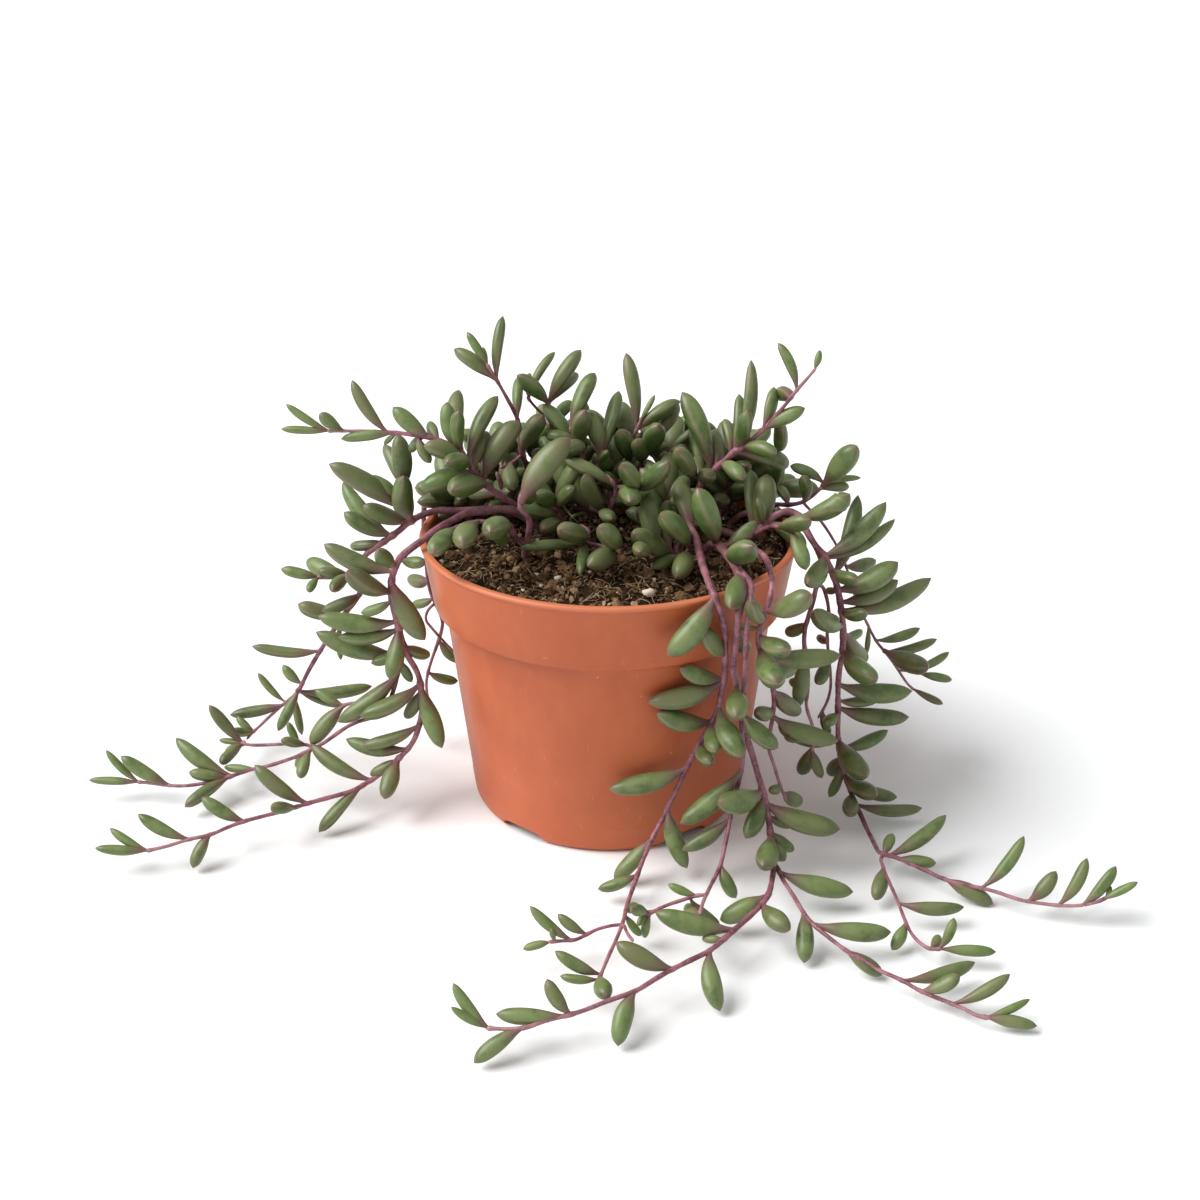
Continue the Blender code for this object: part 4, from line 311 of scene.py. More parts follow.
def lay_out():
    """Work out every shoot in mm: smooth stems with radii, leaves with base, tip, bend and girth."""
    shoots = dict(SHOOTS)
    shoots.update(BACK_SHOOTS)
    names = list(shoots)
    P, R, node, stem_of, root, tie = [], [], [], [], [], []
    stems = []                                   # (shoot index, first point, last point)
    leaves = []
    for si, name in enumerate(names):
        sh = shoots[name]
        r0, r1 = sh["r"]
        first = len(P)
        own = []
        for bi, row in enumerate(sh["stems"]):
            pts = fair([place(q) for q in row], 3.6)
            start = len(P)
            if bi:
                prev = np.array(P[first:start])
                k = int(np.argmin(np.linalg.norm(prev - pts[0], axis=1)))
                pts[0] = prev[k]
                ra = max(0.75 * R[first + k], r1)
                tie.append((start, first + k))
            else:
                ra = r0
                root.append(start)
                pts[0, 2] = soil_top(pts[0, 0], pts[0, 1]) + r0 + 0.45
            n = len(pts)
            for k in range(n):
                P.append(pts[k])
                R.append(ra + (r1 - ra) * (k / (n - 1.0)) ** 0.9)
                node.append(si)
                stem_of.append(len(stems))
            stems.append((si, start, len(P) - 1))
            own.append((start, len(P) - 1))
        arr = np.array(P[first:])
        scr, far = screen(arr)
        for li, row in enumerate(sh["leaves"]):
            u0, v0, u1, v1, w = row[:5]
            s = row[5] if len(row) > 5 else 0
            best = None
            for (a, b) in own:
                for k in range(a, b):
                    p, q = scr[k - first], scr[k + 1 - first]
                    e = q - p
                    t = float(np.clip(((np.array((u0, v0)) - p) @ e) / max(e @ e, 1e-9), 0, 1))
                    dd = np.linalg.norm(p + t * e - (u0, v0))
                    if best is None or dd < best[0] - 1e-9:
                        best = (dd, k, t, a, b)
            _, k, t, a, b = best
            if k + t > b - 0.25:
                k, t = b - 1, 0.75
            if k + t < a + 0.3 and a == own[0][0]:
                k, t = a, 0.3
            leaves.append([si, k, t, u1, v1, w, s, li])
        for j in range(sh.get("n", 0)):
            f = 0.12 + 0.87 * j / (sh["n"] - 1.0)
            w = f * (own[0][1] - own[0][0])
            k = min(own[0][0] + int(w), own[0][1] - 1)
            t = min(w - int(w), 0.75) if k + 1 < own[0][1] else 0.75
            leaves.append([si, k, t, j * 2.39996 + si, f, 0.0, None, 100 + j])
    P = np.array(P)
    P0 = P.copy()
    R = np.array(R)
    node = np.array(node)
    D = P - EYE
    D /= np.linalg.norm(D, axis=1)[:, None]
    S = np.zeros(len(P))
    # leaves
    L = len(leaves)
    lk = np.array([l[1] for l in leaves])
    lt = np.array([l[2] for l in leaves])
    lsi = np.array([l[0] for l in leaves])
    base = P[lk] * (1 - lt)[:, None] + P[lk + 1] * lt[:, None]
    tang = P[lk + 1] - P[lk]
    tang /= np.linalg.norm(tang, axis=1)[:, None]
    _, bf = screen(base)
    tip = np.zeros((L, 3))
    girth = np.zeros(L)
    TD = np.zeros((L, 3))
    for i, l in enumerate(leaves):
        u1, v1, w, s = l[3:7]
        if s is None:                            # spiral leaf of a back shoot
            turn, f = u1, v1
            girth[i] = 3.3 - 1.1 * f ** 2
            a = np.cross(tang[i], (0.31, 0.12, 0.94))
            a /= np.linalg.norm(a)
            c = np.cross(tang[i], a)
            out = a * cos(turn) + c * sin(turn)
            if out[2] < 0 and base[i, 2] < 14:
                out[2] *= 0.25
            out = 0.62 * tang[i] + out
            tip[i] = base[i] + out / np.linalg.norm(out) * (18.5 - 3.0 * f + 1.5 * sin(3.1 * turn))
            tip[i, 2] = max(tip[i, 2], 1.5)
            d = tip[i] - EYE
            TD[i] = d / np.linalg.norm(d)
            continue
        d = sight(u1, v1)
        TD[i] = d
        girth[i] = 0.5 * w * bf[i] / FOCAL
        ahead = d[1] * CT - d[2] * ST
        p = EYE + d * (bf[i] / ahead)
        if s > 900:
            tip[i] = EYE + d * ((s - H - EYE[2]) / d[2])
            continue
        flat = np.linalg.norm(p - base[i])
        true = min(max(flat, 5.4 * girth[i]), 25.0)
        out = sqrt(max(true * true - flat * flat, 0.0))
        sg = s if s else -0.6
        if s == 1 and flat > 5.0 * girth[i]:
            out = max(out, 0.25 * flat)
        tip[i] = p + d * (sg * out)
    T = np.zeros(L)
    tip0 = tip.copy()
    # bodies used to keep things apart: joints of the stems, stations of the leaves
    m = len(LEAF_T)
    ball_r = np.concatenate((R, (girth[:, None] * LEAF_R[None, :]).ravel()))
    ball_n = np.concatenate((node, np.repeat(lsi, m)))
    ball_l = np.concatenate((-np.ones(len(P), int), np.repeat(np.arange(L), m)))
    ball_t = np.concatenate((np.zeros(len(P)), np.tile(LEAF_T, L)))
    nP = len(P)

    def leaf_mid(b, tp):
        length = np.linalg.norm(tp - b, axis=1)
        ax = (tp - b) / length[:, None]
        side = tang - ax * np.sum(tang * ax, axis=1)[:, None]
        return b + (tp - b) * 0.42 + side * (0.17 * length)[:, None]

    def centres(S, T):
        Q = P0 + D * S[:, None]
        b = Q[lk] * (1 - lt)[:, None] + Q[lk + 1] * lt[:, None]
        tp = tip0 + TD * T[:, None]
        mid = leaf_mid(b, tp)
        t = LEAF_T[None, :, None]
        c = (1 - t) ** 2 * b[:, None] + 2 * t * (1 - t) * mid[:, None] + t * t * tp[:, None]
        return Q, b, mid, tp, np.vstack((Q, c.reshape(-1, 3)))

    pinned = np.zeros(nP, bool)
    for k in root:
        pinned[k] = True
    for it in range(RELAX_STEPS):
        Q, b, mid, tp, C = centres(S, T)
        need = np.zeros(len(C))
        cnt = np.zeros(len(C))
        scr, far = screen(C)
        if it % 12 == 0:
            pairs = []
            reach = ball_r * 1.0
            step = 400
            for a0 in range(0, len(C), step):
                a1 = min(a0 + step, len(C))
                du = scr[a0:a1, None, 0] - scr[None, :, 0]
                dv = scr[a0:a1, None, 1] - scr[None, :, 1]
                zz = 0.5 * (far[a0:a1, None] + far[None, :])
                lat = np.hypot(du, dv) * zz / FOCAL
                lim = reach[a0:a1, None] + reach[None, :] + CLEAR + 0.4
                ok = (lat < lim) & (np.abs(far[a0:a1, None] - far[None, :]) < lim + 3.0)
                ia, ib = np.nonzero(ok)
                ia = ia + a0
                keep = ia < ib
                ia, ib = ia[keep], ib[keep]
                same = ball_n[ia] == ball_n[ib]
                la, lb = ball_l[ia], ball_l[ib]
                both = (la >= 0) & (lb >= 0) & (la != lb) & (ball_t[ia] > 0.3) & (ball_t[ib] > 0.3)
                keep = ~same | both
                pairs.append(np.column_stack((ia[keep], ib[keep])))
            pairs = np.vstack(pairs)
            pa, pb = pairs[:, 0], pairs[:, 1]
            psame = ball_n[pa] == ball_n[pb]
        want = ball_r[pa] + ball_r[pb] + np.where(psame, -0.25 * (ball_r[pa] + ball_r[pb]) * 0.6, CLEAR)
        zz = 0.5 * (far[pa] + far[pb])
        lat = np.linalg.norm(scr[pa] - scr[pb], axis=1) * zz / FOCAL
        dz = far[pb] - far[pa]
        tgt = np.sqrt(np.maximum(want * want - lat * lat, 0.0))
        sg = np.where(dz >= 0, 1.0, -1.0)
        miss = tgt - np.abs(dz)
        hit = miss > 0.0
        mv = 0.5 * miss[hit] * sg[hit]
        push = np.zeros(len(C))
        pull = np.zeros(len(C))
        np.maximum.at(push, pb[hit], np.maximum(mv, 0))
        np.minimum.at(pull, pb[hit], np.minimum(mv, 0))
        np.maximum.at(push, pa[hit], np.maximum(-mv, 0))
        np.minimum.at(pull, pa[hit], np.minimum(-mv, 0))
        need = push + pull
        # pot, soil and table
        sd = pot_clearance(C) - ball_r - 0.42
        dirs = C - EYE
        dirs /= np.linalg.norm(dirs, axis=1)[:, None]
        g = (pot_clearance(C + dirs * 0.5) - pot_clearance(C - dirs * 0.5))
        bad = sd < 0
        mag = np.minimum(-sd / np.maximum(np.abs(g), 0.35), 2.0)
        need[bad] = (np.where(g[bad] > 0.15, 1.0, -1.0) * mag[bad])
        low = C[:, 2] - ball_r - TABLE_GAP
        bad = low < 0
        need[bad] = np.minimum(need[bad], low[bad] / (-dirs[bad, 2]))
        # hand the moves on to the joints of the stems and to the tips
        dS = need[:nP].copy()
        nl = need[nP:].reshape(L, m)
        tw = LEAF_T[None, :]
        dT = (nl * tw).max(axis=1) + (nl * tw).min(axis=1)
        dT = dT * 1.25
        db = (nl * (1 - tw)).max(axis=1) + (nl * (1 - tw)).min(axis=1)
        addp = np.zeros(nP)
        addn = np.zeros(nP)
        for kk, ww in ((lk, 1 - lt), (lk + 1, lt)):
            np.maximum.at(addp, kk, np.maximum(db * ww, 0))
            np.minimum.at(addn, kk, np.minimum(db * ww, 0))
        dS += 0.8 * (addp + addn)
        dS[pinned] = 0
        T += 0.7 * dT
        S += 0.7 * dS
        for (si, a, b_) in stems:
            if b_ - a >= 2:
                sl = S[a:b_ + 1]
                sl[1:-1] += 0.22 * (sl[:-2] - 2 * sl[1:-1] + sl[2:])
        for (c, k) in tie:
            S[c] = S[k]
        S[pinned] = 0
        Sb = S[lk] * (1 - lt) + S[lk + 1] * lt
        T += 0.0 * Sb
    Q, b, mid, tp, C = centres(S, T)
    # leaves that still meet another shoot, the pot or the table are slimmed
    slim = np.ones(L)
    for rnd in range(4):
        rr = ball_r.copy()
        rr[nP:] *= np.repeat(slim, m)
        worst = np.zeros(len(C))
        diff = C[pa] - C[pb]
        dist = np.linalg.norm(diff, axis=1)
        miss = np.where(psame, -1.0, rr[pa] + rr[pb] + 0.33 - dist)
        np.maximum.at(worst, pa, miss)
        np.maximum.at(worst, pb, miss)
        sd = rr + 0.36 - pot_clearance(C)
        worst = np.maximum(worst, sd)
        worst = np.maximum(worst, rr + 0.05 - C[:, 2])
        wl = worst[nP:].reshape(L, m)
        rl = rr[nP:].reshape(L, m)
        cut = np.where(wl > 0, 1.0 - 0.6 * wl / rl, 1.0).min(axis=1)
        slim *= np.clip(cut, 0.35, 1.0)
    return dict(names=names, stems=stems, P=Q, R=R, node=node, leaves=leaves, lk=lk, lsi=lsi,
                base=b, mid=mid, tip=tp, girth=girth, slim=slim, tie=tie, balls=C, ball_r=ball_r,
                ball_n=ball_n, ball_l=ball_l, shift=S, tshift=T, tang=tang)


def crown_edge(q):
    """True where sights q (n, 2) lie inside the outline of the crown."""
    return ((q[:, 0] > 412) & (q[:, 0] < 850) & (q[:, 1] < 546)
            & (q[:, 1] > 408 + 0.0009 * (q[:, 0] - 620) ** 2))


def fill_crown(plan):
    """Add the short shoots: each takes only the leaves that have room among all that stand already."""
    m = len(LEAF_T)
    keep = np.repeat(plan["slim"], m)
    rr = plan["ball_r"].copy()
    rr[len(plan["P"]):] *= keep
    C = [plan["balls"], ]
    RR = [rr]
    new = dict(P=[], R=[], base=[], mid=[], tip=[], girth=[], lk=[], lt=[], lsi=[], stems=[], names=[])
    nP = len(plan["P"])
    for name, (x0, y0, top) in FILLS.items():
        allc, allr = np.vstack(C), np.concatenate(RR)
        near = (np.abs(allc[:, 0] - x0) < 34) & (np.abs(allc[:, 1] - y0) < 34) & (allc[:, 2] > 78)
        allc, allr = allc[near], allr[near]
        best = None
        for trial in range(27):
            dx, dy, ph = (trial % 3 - 1) * 3.2, (trial // 3 % 3 - 1) * 3.2, (trial // 9) * 0.8
            x, y = x0 + dx, y0 + dy
            lean = np.array((x, y - 10.0)) * 0.11
            z = soil_top(x, y) + 1.1 + 0.45
            pts = fair([np.array((x, y, z)), np.array((x + lean[0] * 0.4, y + lean[1] * 0.4, (z + top - 7) / 2)),
                        np.array((x + lean[0], y + lean[1], top - 7.0))], 3.0)
            r = np.linspace(1.1, 0.55, len(pts))
            mids = np.vstack((pts, 0.5 * (pts[1:] + pts[:-1])))
            rm = np.concatenate((r, 0.5 * (r[1:] + r[:-1])))
            d = np.linalg.norm(mids[:, None] - allc[None], axis=2) - rm[:, None] - allr[None]
            if d.min() < 0.6 or (pot_clearance(mids[1:]) - rm[1:]).min() < 0.25:
                continue
            n = len(pts)
            got, mine_c, mine_r = [], np.zeros((0, 3)), np.zeros(0)
            for j in range(16):
                f = 0.10 + 0.90 * j / 15.0
                w = f * (n - 1)
                k = min(int(w), n - 2)
                t = min(w - k, 0.75)
                b = pts[k] * (1 - t) + pts[k + 1] * t
                tg = pts[k + 1] - pts[k]
                tg = tg / np.linalg.norm(tg)
                turn = j * 2.39996 + ph
                a = np.cross(tg, (0.31, 0.12, 0.94))
                a /= np.linalg.norm(a)
                c = np.cross(tg, a)
                for size in (1.0, 0.84, 0.70):
                    out = a * cos(turn) + c * sin(turn) + tg * (0.35 + 0.75 * f)
                    tip = b + out / np.linalg.norm(out) * (16.0 + 2.0 * sin(2.3 * turn)) * size
                    g = (3.25 + 0.35 * sin(1.7 * turn)) * (0.35 + 0.65 * size)
                    L = np.linalg.norm(tip - b)
                    ax = (tip - b) / L
                    side = tg - ax * (tg @ ax)
                    mid = b + (tip - b) * 0.42 + side * 0.17 * L
                    s = LEAF_T[:, None]
                    q = (1 - s) ** 2 * b + 2 * s * (1 - s) * mid + s * s * tip
                    rq = LEAF_R * g
                    if not crown_edge(screen(q[2:])[0]).all():
                        continue
                    if (pot_clearance(q) - rq).min() < 0.45:
                        continue
                    if (np.linalg.norm(q[:, None] - allc[None], axis=2) - rq[:, None] - allr[None]).min() < 0.55:
                        continue
                    if len(mine_r) and (np.linalg.norm(q[2:, None] - mine_c[None], axis=2)
                                        / (rq[2:, None] + mine_r[None])).min() < 0.72:
                        continue
                    got.append((k, t, b, mid, tip, g))
                    mine_c = np.vstack((mine_c, q[2:]))
                    mine_r = np.concatenate((mine_r, rq[2:]))
                    break
            if best is None or len(got) > len(best[0]):
                best = (got, pts, r)
        if best is None or len(best[0]) < 3:
            continue
        got, pts, r = best
        start = nP + sum(len(q) for q in new["P"])
        si = len(plan["names"]) + len(new["names"])
        new["names"].append(name)
        new["stems"].append((si, start, start + len(pts) - 1))
        new["P"].append(pts)
        new["R"].append(r)
        C.append(pts)
        RR.append(r)
        for (k, t, b, mid, tip, g) in got:
            new["lk"].append(start + k)
            new["lt"].append(t)
            new["lsi"].append(si)
            new["base"].append(b)
            new["mid"].append(mid)
            new["tip"].append(tip)
            new["girth"].append(g)
            s = LEAF_T[:, None]
            C.append((1 - s) ** 2 * b + 2 * s * (1 - s) * mid + s * s * tip)
            RR.append(LEAF_R * g)
    plan["leaves"] = plan["leaves"] + [[a, b, t] for a, b, t in zip(new["lsi"], new["lk"], new["lt"])]
    plan["names"] = plan["names"] + new["names"]
    plan["stems"] = plan["stems"] + new["stems"]
    plan["P"] = np.vstack([plan["P"]] + new["P"])
    plan["R"] = np.concatenate([plan["R"]] + new["R"])
    plan["slim"] = np.concatenate((plan["slim"], np.ones(len(new["lk"]))))
    for key in ("base", "mid", "tip"):
        plan[key] = np.vstack((plan[key], np.array(new[key])))
    plan["girth"] = np.concatenate((plan["girth"], new["girth"]))
    plan["lk"] = np.concatenate((plan["lk"], new["lk"]))
    plan["lsi"] = np.concatenate((plan["lsi"], new["lsi"]))
    return plan


# ---------------------------------------------------------------- mesh and node helpers
def new_mesh(name, verts, faces, mats, index=None, attrs=None, smooth=True):
    me = bpy.data.meshes.new(name)
    me.from_pydata(np.asarray(verts, float).tolist(), [], faces)
    for m in mats:
        me.materials.append(m)
    if index is not None:
        me.polygons.foreach_set("material_index", np.asarray(index, np.int32))
    for key, val in (attrs or {}).items():
        a = me.attributes.new(key, "FLOAT_COLOR", "POINT")
        a.data.foreach_set("color", np.asarray(val, np.float32).ravel())
    if smooth:
        me.shade_smooth()
    me.update()
    ob = bpy.data.objects.new(name, me)
    bpy.context.scene.collection.objects.link(ob)
    return ob


class Tree:
    """Short hand for a node material."""

    def __init__(self, name):
        self.mat = bpy.data.materials.new(name)
        self.mat.use_nodes = True
        self.nt = self.mat.node_tree
        self.nt.nodes.clear()
        self.out = self.nt.nodes.new("ShaderNodeOutputMaterial")
        self.b = self.nt.nodes.new("ShaderNodeBsdfPrincipled")
        self.nt.links.new(self.b.outputs[0], self.out.inputs[0])
        self.obj = None

    def put(self, sock, v):
        if isinstance(v, bpy.types.NodeSocket):
            self.nt.links.new(v, sock)
        else:
            if hasattr(sock.default_value, "__len__") and len(sock.default_value) == 4 and len(v) == 3:
                v = (*v, 1.0)
            sock.default_value = v

    def coords(self, scale=(1, 1, 1)):
        if self.obj is None:
            self.obj = self.nt.nodes.new("ShaderNodeTexCoord").outputs["Object"]
        if scale == (1, 1, 1):
            return self.obj
        m = self.nt.nodes.new("ShaderNodeMapping")
        self.put(m.inputs["Vector"], self.obj)
        m.inputs["Scale"].default_value = scale
        return m.outputs[0]

    def noise(self, scale, detail=3.0, rough=0.55, distort=0.0, stretch=(1, 1, 1), vector=None):
        n = self.nt.nodes.new("ShaderNodeTexNoise")
        self.put(n.inputs["Vector"], vector if vector is not None else self.coords(stretch))
        n.inputs["Scale"].default_value = scale
        n.inputs["Detail"].default_value = detail
        n.inputs["Roughness"].default_value = rough
        n.inputs["Distortion"].default_value = distort
        return n.outputs["Fac"]

    def voronoi(self, scale, stretch=(1, 1, 1), rand=1.0):
        n = self.nt.nodes.new("ShaderNodeTexVoronoi")
        self.put(n.inputs["Vector"], self.coords(stretch))
        n.inputs["Scale"].default_value = scale
        n.inputs["Randomness"].default_value = rand
        return n.outputs["Distance"]

    def attr(self, name):
        a = self.nt.nodes.new("ShaderNodeAttribute")
        a.attribute_name = name
        s = self.nt.nodes.new("ShaderNodeSeparateColor")
        self.nt.links.new(a.outputs["Color"], s.inputs[0])
        return s.outputs[0], s.outputs[1], s.outputs[2]

    def math(self, op, a, b=0.0, clamp=False):
        n = self.nt.nodes.new("ShaderNodeMath")
        n.operation = op
        n.use_clamp = clamp
        self.put(n.inputs[0], a)
        self.put(n.inputs[1], b)
        return n.outputs[0]

    def span(self, v, a, b, lo=0.0, hi=1.0, smooth=True):
        n = self.nt.nodes.new("ShaderNodeMapRange")
        n.interpolation_type = "SMOOTHSTEP" if smooth else "LINEAR"
        self.put(n.inputs["Value"], v)
        for k, x in (("From Min", a), ("From Max", b), ("To Min", lo), ("To Max", hi)):
            n.inputs[k].default_value = x
        return n.outputs[0]

    def mix(self, fac, a, b, kind="MIX"):
        n = self.nt.nodes.new("ShaderNodeMix")
        n.data_type = "RGBA"
        n.blend_type = kind
        self.put(n.inputs[0], fac)
        self.put(n.inputs[6], a)
        self.put(n.inputs[7], b)
        return n.outputs[2]

    def bump(self, height, strength, distance):
        n = self.nt.nodes.new("ShaderNodeBump")
        n.inputs["Strength"].default_value = strength
        n.inputs["Distance"].default_value = distance
        self.put(n.inputs["Height"], height)
        self.put(self.b.inputs["Normal"], n.outputs[0])


# ---------------------------------------------------------------- materials
def leaf_material():
    """attribute leaf: along the leaf, its own chance, how purple it is; leafb: edge, upper side (where highlight is
    painted), youth
    """
    k = Tree("leaf_flesh_fine")
    along, chance, purple = k.attr("leaf")
    edge, top, youth = k.attr("leafb")
    patch = k.noise(170, 3.0, 0.6)
    grain = k.noise(1100, 3.0, 0.6)
    green = k.mix(chance, LEAF_DEEP, LEAF_FRESH)
    green = k.mix(k.span(patch, 0.40, 0.68, 0.0, 0.50), green, LEAF_LIGHT)
    green = k.mix(k.math("MULTIPLY", youth, 0.55), green, LEAF_YOUNG)
    # lighter stripe on the upper side: partly the leaf's own window stripe, partly painted highlight on the side
    # turned up and towards the viewpoint
    window_and_highlight = k.math("MULTIPLY", k.math("MULTIPLY", top, top), k.math("MULTIPLY", k.span(along, 0.18, 0.45), k.span(along, 0.97, 0.70)))
    green = k.mix(k.math("MULTIPLY", window_and_highlight, k.span(patch, 0.36, 0.60, 0.10, 0.55)), green, LEAF_WINDOW_AND_HIGHLIGHT)
    # grey-green bloom laid on the upper side only: partly the leaf's real wax bloom, partly painted highlight on the
    # side turned up and towards the viewpoint
    bloom_and_highlight = k.math("MULTIPLY", k.math("MULTIPLY", top, k.span(patch, 0.30, 0.62, 0.30, 0.95)), 0.55)
    green = k.mix(bloom_and_highlight, green, LEAF_BLOOM_AND_HIGHLIGHT)
    flush = k.math("ADD", along, k.math("MULTIPLY", k.math("SUBTRACT", patch, 0.5), 0.22))
    foot = k.span(flush, 0.50, 0.08)
    foot = k.math("MULTIPLY", foot, k.span(purple, 0.0, 1.0, 0.62, 1.0, False))
    col = k.mix(foot, green, LEAF_PURPLE)
    tint = k.math("MULTIPLY", k.span(purple, 0.38, 0.95, 0.0, 0.55), k.span(patch, 0.38, 0.62, 0.20, 1.0))
    col = k.mix(tint, col, LEAF_BROWN)
    tipf = k.math("MULTIPLY", k.span(along, 0.90, 1.0), 0.65)
    col = k.mix(tipf, col, LEAF_TIP)
    rim = k.math("MULTIPLY", edge, k.span(along, 0.15, 0.5, 0.1, 0.42))
    col = k.mix(rim, col, LEAF_RIM)
    col = k.mix(k.span(grain, 0.35, 0.75, 0.0, 0.14), col, LEAF_BLOOM_AND_HIGHLIGHT)
    k.put(k.b.inputs["Base Color"], col)
    k.put(k.b.inputs["Roughness"], k.span(patch, 0.25, 0.75, 0.33, 0.50, False))
    k.b.inputs["Specular IOR Level"].default_value = 0.50
    k.b.inputs["Subsurface Weight"].default_value = 0.10
    k.b.inputs["Subsurface Radius"].default_value = (0.6, 1.0, 0.3)
    k.b.inputs["Subsurface Scale"].default_value = 0.0012
    k.bump(k.math("ADD", k.math("MULTIPLY", grain, 0.5), k.noise(2600, 2.0)), 0.25, 0.00012)
    return k.mat


def stem_material():
    """attribute stem: along the shoot, chance, woodiness"""
    k = Tree("stem_skin_fine")
    along, chance, wood = k.attr("stem")
    patch = k.noise(240, 3.0, 0.6)
    streak = k.noise(1500, 3.0, 0.6)
    col = k.mix(k.span(patch, 0.35, 0.65), STEM_DEEP, STEM_PINK)
    col = k.mix(k.span(streak, 0.50, 0.72, 0.0, 0.40), col, STEM_LIGHT)
    col = k.mix(k.math("MULTIPLY", wood, 0.55), col, STEM_WOOD)
    col = k.mix(k.span(along, 0.80, 1.0, 0.0, 0.35), col, STEM_LIGHT)
    k.put(k.b.inputs["Base Color"], col)
    k.put(k.b.inputs["Roughness"], k.span(streak, 0.3, 0.7, 0.38, 0.55, False))
    k.b.inputs["Specular IOR Level"].default_value = 0.45
    k.bump(streak, 0.35, 0.00015)
    return k.mat


def pot_material():
    k = Tree("terracotta_plastic_fine")
    patch = k.noise(16, 4.0, 0.6)
    cloud = k.noise(60, 4.0, 0.62, stretch=(1, 1, 0.45))
    grain = k.noise(1800, 2.0, 0.6)
    col = k.mix(k.span(patch, 0.30, 0.70), POT_DEEP, POT_BASE)
    col = k.mix(k.span(cloud, 0.40, 0.72, 0.0, 0.35), col, POT_LIGHT)
    sep = k.nt.nodes.new("ShaderNodeSeparateXYZ")
    k.put(sep.inputs[0], k.coords())
    z = sep.outputs[2]
    # painted highlight: the top of the rim is made lighter where it catches the light
    rim_highlight = k.span(z, 0.0905, 0.0917, 0.0, 0.55)
    col = k.mix(rim_highlight, col, POT_RIM_HIGHLIGHT)
    foot = k.math("MULTIPLY", k.span(z, 0.010, 0.0, 0.0, 0.35), k.span(cloud, 0.3, 0.6))
    col = k.mix(foot, col, POT_DEEP)
    scuff = k.noise(420, 5.0, 0.7, 0.6, stretch=(1, 1, 0.35))
    col = k.mix(k.span(scuff, 0.655, 0.71, 0.0, 0.20), col, POT_SCUFF)
    speck = k.voronoi(210)
    col = k.mix(k.math("MULTIPLY", k.span(speck, 0.085, 0.045), k.span(k.noise(55, 2.0), 0.52, 0.62, 0.0, 0.55)), col, POT_SCUFF)
    k.put(k.b.inputs["Base Color"], col)
    k.put(k.b.inputs["Roughness"], k.span(cloud, 0.25, 0.75, 0.36, 0.52, False))
    k.b.inputs["Specular IOR Level"].default_value = 0.40
    k.b.inputs["Subsurface Weight"].default_value = 0.06
    k.b.inputs["Subsurface Radius"].default_value = (1.0, 0.35, 0.15)
    k.b.inputs["Subsurface Scale"].default_value = 0.0015
    k.bump(k.math("ADD", k.math("MULTIPLY", grain, 0.35), cloud), 0.22, 0.00025)
    return k.mat


def soil_material(name, dark, mid, light, rough=0.95):
    """attribute crumb: chance, lightness, 0"""
    k = Tree(name)
    chance, pale, _ = k.attr("crumb")
    patch = k.noise(420, 4.0, 0.65)
    fine = k.noise(2400, 4.0, 0.7)
    col = k.mix(k.math("ADD", k.math("MULTIPLY", chance, 0.6), k.math("MULTIPLY", patch, 0.5), True), dark, mid)
    col = k.mix(k.span(fine, 0.48, 0.78, 0.0, 0.55), col, light)
    col = k.mix(pale, col, light)
    k.put(k.b.inputs["Base Color"], col)
    k.put(k.b.inputs["Roughness"], k.span(fine, 0.3, 0.7, rough - 0.15, rough, False))
    k.b.inputs["Specular IOR Level"].default_value = 0.08
    k.bump(fine, 0.8, 0.0005)
    return k.mat


LEAF_DEEP = (0.039, 0.075, 0.015)
LEAF_FRESH = (0.082, 0.145, 0.028)
LEAF_LIGHT = (0.140, 0.190, 0.055)
LEAF_YOUNG = (0.126, 0.203, 0.037)
# the window and bloom colours also serve as painted highlight on the upper side of the leaves
LEAF_WINDOW_AND_HIGHLIGHT = (0.200, 0.275, 0.073)
LEAF_BLOOM_AND_HIGHLIGHT = (0.197, 0.242, 0.103)
LEAF_PURPLE = (0.200, 0.074, 0.088)
LEAF_BROWN = (0.140, 0.088, 0.058)
LEAF_TIP = (0.180, 0.088, 0.074)
LEAF_RIM = (0.340, 0.262, 0.160)
STEM_DEEP = (0.145, 0.044, 0.064)
STEM_PINK = (0.330, 0.130, 0.162)
STEM_LIGHT = (0.520, 0.300, 0.305)
STEM_WOOD = (0.190, 0.115, 0.080)
POT_DEEP = (0.440, 0.094, 0.031)
POT_BASE = (0.540, 0.130, 0.044)
POT_LIGHT = (0.585, 0.166, 0.069)
# painted highlight colour for the top of the rim
POT_RIM_HIGHLIGHT = (0.660, 0.225, 0.115)
POT_SCUFF = (0.780, 0.440, 0.300)

# ---------------------------------------------------------------- pot
def rounded(points, radii, steps=4):
    """A profile whose corners are drawn off with small curves."""
    pts = [np.array(p, float) for p in points]
    out = [pts[0]]
    for i in range(1, len(pts) - 1):
        a, b, c = pts[i - 1], pts[i], pts[i + 1]
        r = radii[i]
        la, lc = np.linalg.norm(a - b), np.linalg.norm(c - b)
        p = b + (a - b) * min(0.45, r / la)
        q = b + (c - b) * min(0.45, r / lc)
        for s in np.linspace(0, 1, steps + 1):
            out.append((1 - s) ** 2 * p + 2 * s * (1 - s) * b + s * s * q)
    out.append(pts[-1])
    return out


